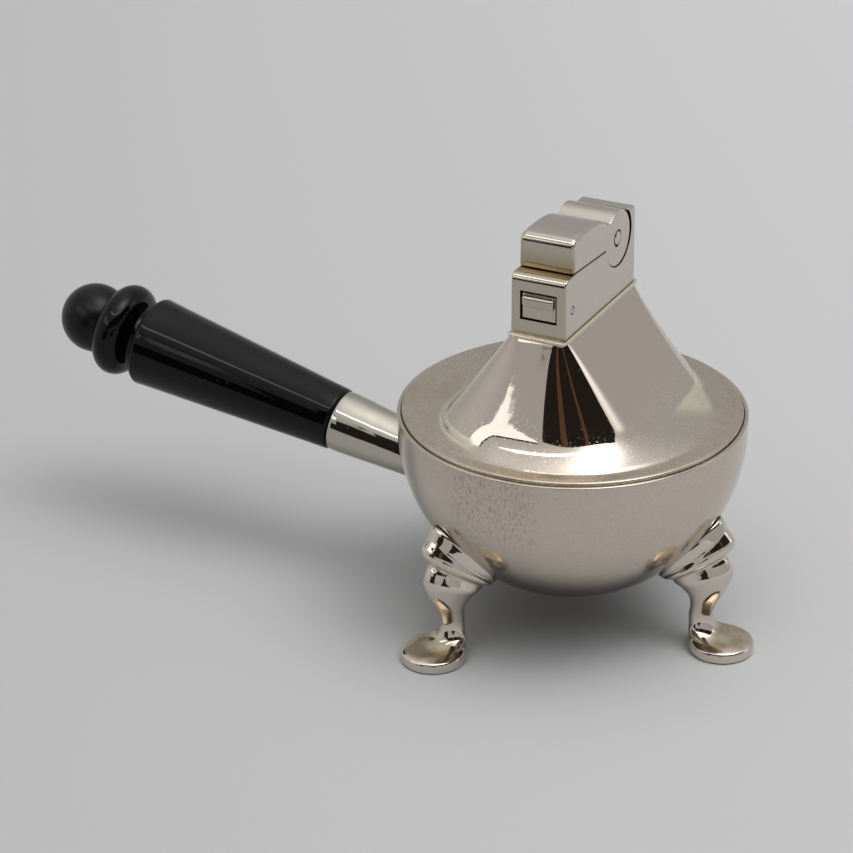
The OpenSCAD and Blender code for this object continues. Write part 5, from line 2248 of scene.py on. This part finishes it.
@dataclass
class InnerWorks(Assembly):
    """Pins, springs, wick, wadding and the other pieces inside the lighter."""

    sizes: WorksSizes
    pin_edge: float = 0.14
    wire: float = 0.3
    flint_coil: Pair = (1.05, 1.7)
    button_coil: Pair = (0.65, 0.8)
    button_coil_x: float = 3.35
    button_coil_up: float = 8.9
    pocket: float = 4.6
    plate_back: float = 1.4
    button_travel: float = 0.45
    lift_wire: float = 0.45
    lift_gap: float = 0.15
    lift_ends: Pair = (3.25, 1.3)
    wadding_halves: Pair = (4.7, 16.7)
    wick_radius: float = 1.15
    pad_radius: float = 2.27
    gasket_radii: Pair = (2.55, 3.7)
    filler_ahead: float = 4.0

    def build(self) -> None:
        """Builds the soft and wound pieces and dresses the rest."""
        self.pins()
        self.springs()
        self.wadding()
        self.wick()
        self.discs()
        tank = ("fuel_tank", "tank_bottom", "wick_tube", "filler_screw", "flint_tube")
        flint = ("flint_plunger", "flint_screw")
        self.dress_nodes(self.finishes.brass, *tank, *flint, "snuffer_cap")
        self.dress_nodes(self.finishes.steel, "drive_pawl", "flint_wheel")
        self.dress_nodes(self.finishes.flint, "flint")

    def spans(self, node: str) -> Pair:
        """Returns the lowest and highest place of a node in millimetres."""
        low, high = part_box(node)
        return (low[2] / MM, high[2] / MM)

    def pins(self) -> None:
        """Builds the two pins with chamfered ends, plated like the castings around them."""
        s, edge = self.sizes, self.pin_edge
        flat = Matrix.Rotation(math.radians(90), 4, "Y")
        for node, radius, low, high, place in (
            ("arm_pin", s.pin / 2, -6.5, 6.5, s.pivot),
            ("button_pin", s.button_pin / 2, -6.7, 6.55, s.button_pivot),
        ):
            profile = [
                (0.0, low),
                (radius - edge, low),
                (radius, low + edge),
                (radius, high - edge),
                (radius - edge, high),
                (0.0, high),
            ]
            pin = lathe(f"turned_{node}", profile, 64, Matrix.Translation((0, *place)) @ flat)
            smooth_by_angle(pin, 30)
            body = Body(body_of(frame["nodes"][node])[0])
            self.mount(pin, body, Slot.STEEL, self.finishes.works, node)

    def springs(self) -> None:
        """Winds the three springs."""
        s, wire = self.sizes, self.wire
        low, high = self.spans("flint_spring")
        rise = helix(*self.flint_coil, high - low - wire, 24)
        flint = [(x, y + s.pivot[0], z + low + wire / 2) for x, y, z in rise]
        room = self.pocket - self.plate_back - wire - 0.05 - self.button_travel
        rise = helix(*self.button_coil, room, 24)
        y0 = s.front_y + self.plate_back + wire / 2 + self.button_travel
        x0, z0 = self.button_coil_x, s.neck_z + self.button_coil_up
        button = [(x + x0, z + y0, -y + z0) for x, y, z in rise]
        for node, path, thickness in (
            ("flint_spring", flint, wire),
            ("button_spring", button, wire),
            ("lift_spring", self.lift_path(), self.lift_wire),
        ):
            spring = tube(f"wound_{node}", path, thickness / 2)
            self.mount(spring, Body.UNIT, Slot.STEEL, self.finishes.steel, node)

    def lift_path(self) -> list[Sequence[float]]:
        """Lays out the spring that lifts the arm.

        Returns:
            The path of its wire, from the trough to the hub.
        """
        s, half, gap = self.sizes, self.lift_wire / 2, self.lift_gap
        y0, z0 = s.pivot
        radius, reach = s.pin / 2 + gap + half, 0.1 + half
        start, stop = -(self.lift_ends[0] - gap - half), -(self.lift_ends[1] + 0.2 + half)

        def at(x: float, r: float, angle: float) -> Point:
            """Returns a point round the pin."""
            t = math.radians(angle)
            return (x, y0 + r * math.cos(t), z0 + r * math.sin(t))

        coil = [at(start + (stop - start) * i / 30, radius, -80 - 15 * i) for i in range(31)]
        trough = at(start, s.hub + s.hub_gap - reach, -64)
        foot = smooth_rows([trough, at(start, radius + 2, -60), coil[0]], 5)
        hub = [at(stop, radius + 0.35, 150), at(stop, radius + 1.5, 118)]
        top = smooth_rows([coil[-1], *hub, at(stop, s.hub_inner - reach, 104)], 5)
        return [*foot[:-1], *coil, *top[1:]]

    def wadding(self) -> None:
        """Builds the cotton wadding, drawn in at its ends, round the wick and the flint."""
        s, levels = self.sizes, 44
        low, high = self.spans("wadding")
        rings = []
        for i in range(levels + 1):
            z = low + (high - low) * i / levels
            pull = 0.05 + 0.5 * ramp(min(z - low, high - z), 1.4, 0.0) ** 2
            ring = rounded_ring(*self.wadding_halves, 1.5, z, 18)
            rings.append([self.tufted(p, pull) for p in ring])
        wadding = loft("cotton_wadding", rings)
        paths = (
            upright_rod("wick_path", s.wick_y, 1.19, low + 6, high + 1),
            upright_rod("flint_path", s.pivot[0], 2.02, low - 1, high + 1),
        )
        carve(wadding, paths)
        smooth_by_angle(wadding, 50)
        self.mount(wadding, Body.UNIT, Slot.COTTON, self.finishes.cotton, "wadding")

    def tufted(self, point: Point, pull: float) -> Point:
        """Draws a point in by the cotton's tufts.

        Args:
            point: The point.
            pull: How far it is drawn in besides.

        Returns:
            The moved point.
        """
        tuft = 0.5 + 0.5 * noise.noise(Vector(point) * 0.45)
        fine = 0.5 + 0.5 * noise.noise(Vector(point) * 1.3)
        inward = pull + 0.28 * tuft + 0.14 * fine
        x, y, z = point
        return (x - math.copysign(min(inward, abs(x)), x), y - math.copysign(inward, y) * 0.9, z)

    def wick(self) -> None:
        """Builds the wick from twisted strands with a frayed tip."""
        wick_y, step = self.sizes.wick_y, 0.45
        low, high = self.spans("wick")
        count = int((high - low) / step)
        rings = []
        for i in range(count + 1):
            z = low + (high - low) * i / count
            fray = ramp(high - z, 1.1, 0.0)
            ring = []
            for t in circle(40):
                strand = abs(math.cos(2.5 * (t + 0.9 * z)))
                r = self.wick_radius * (0.84 + 0.16 * strand) * (1 - 0.35 * fray * fray)
                wild = noise.noise(Vector((math.cos(t) * 3, math.sin(t) * 3, z * 3)))
                r *= 1 - fray * 0.25 * abs(wild)
                ring.append((r * math.cos(t), wick_y + r * math.sin(t), z))
            rings.append(ring)
        wick = loft("twisted_wick", rings)
        self.mount(wick, Body.UNIT, Slot.COTTON, self.finishes.cotton, "wick")

    def discs(self) -> None:
        """Builds the snuffer's pad and the filler's gasket."""
        wick_y, finishes = self.sizes.wick_y, self.finishes
        pad = self.disc("cork_snuffer_pad", (0.0, self.pad_radius), "snuffer_pad", wick_y)
        self.mount(pad, Body.ARM, Slot.CORK, finishes.cork, "snuffer_pad")
        filler_y = wick_y - self.filler_ahead
        gasket = self.disc("pressed_filler_gasket", self.gasket_radii, "filler_gasket", filler_y)
        self.mount(gasket, Body.UNIT, Slot.GASKET, finishes.gasket, "filler_gasket")

    def disc(self, name: str, radii: Pair, node: str, y: float) -> bpy.types.Object:
        """Builds a slightly squeezed disc or washer with rounded, uneven edges.

        Args:
            name: The piece's name.
            radii: Its inner radius, 0 for a disc, and its outer one.
            node: The node whose heights it has.
            y: Its place.

        Returns:
            The disc.
        """
        inner, outer = radii
        low, high = self.spans(node)
        edge = min(0.22, (high - low) / 3)
        profile = [(inner, high), (inner, low)] if inner else [(0.0, low)]
        profile += arc((outer - edge, low + edge), edge, 270, 360, 4)
        profile += arc((outer - edge, high - edge), edge, 0, 90, 4)
        if not inner:
            profile.append((0.0, high))
        piece = lathe(name, profile, 72, Matrix.Translation((0, y, 0)))
        for vertex in piece.data.vertices:
            spot = vertex.co / MM
            away = Vector((spot.x, spot.y - y, 0.0))
            if away.length > inner + 0.3:
                dent = 0.04 * (0.5 + 0.5 * noise.noise(spot * 2.2))
                vertex.co -= away.normalized() * dent * MM
        smooth_by_angle(piece, 60)
        return piece


def main() -> None:
    """Builds the studio and every sub-assembly in order."""
    logging.basicConfig(level=logging.INFO, format="%(name)s: %(message)s")
    ReferenceCamera().build()
    Studio().build()
    finishes, works = Finishes(), WorksSizes()
    for part in (
        BowlSet(finishes),
        LegSet(finishes),
        HandleSet(finishes),
        CoverShell(finishes),
        FrameCasting(finishes, works),
        LiftArm(finishes, works),
        RockingButton(finishes, works),
        InnerWorks(finishes, works),
    ):
        part.build()
    bpy.context.scene.view_settings.view_transform = "Standard"


if __name__ == "__main__":
    main()
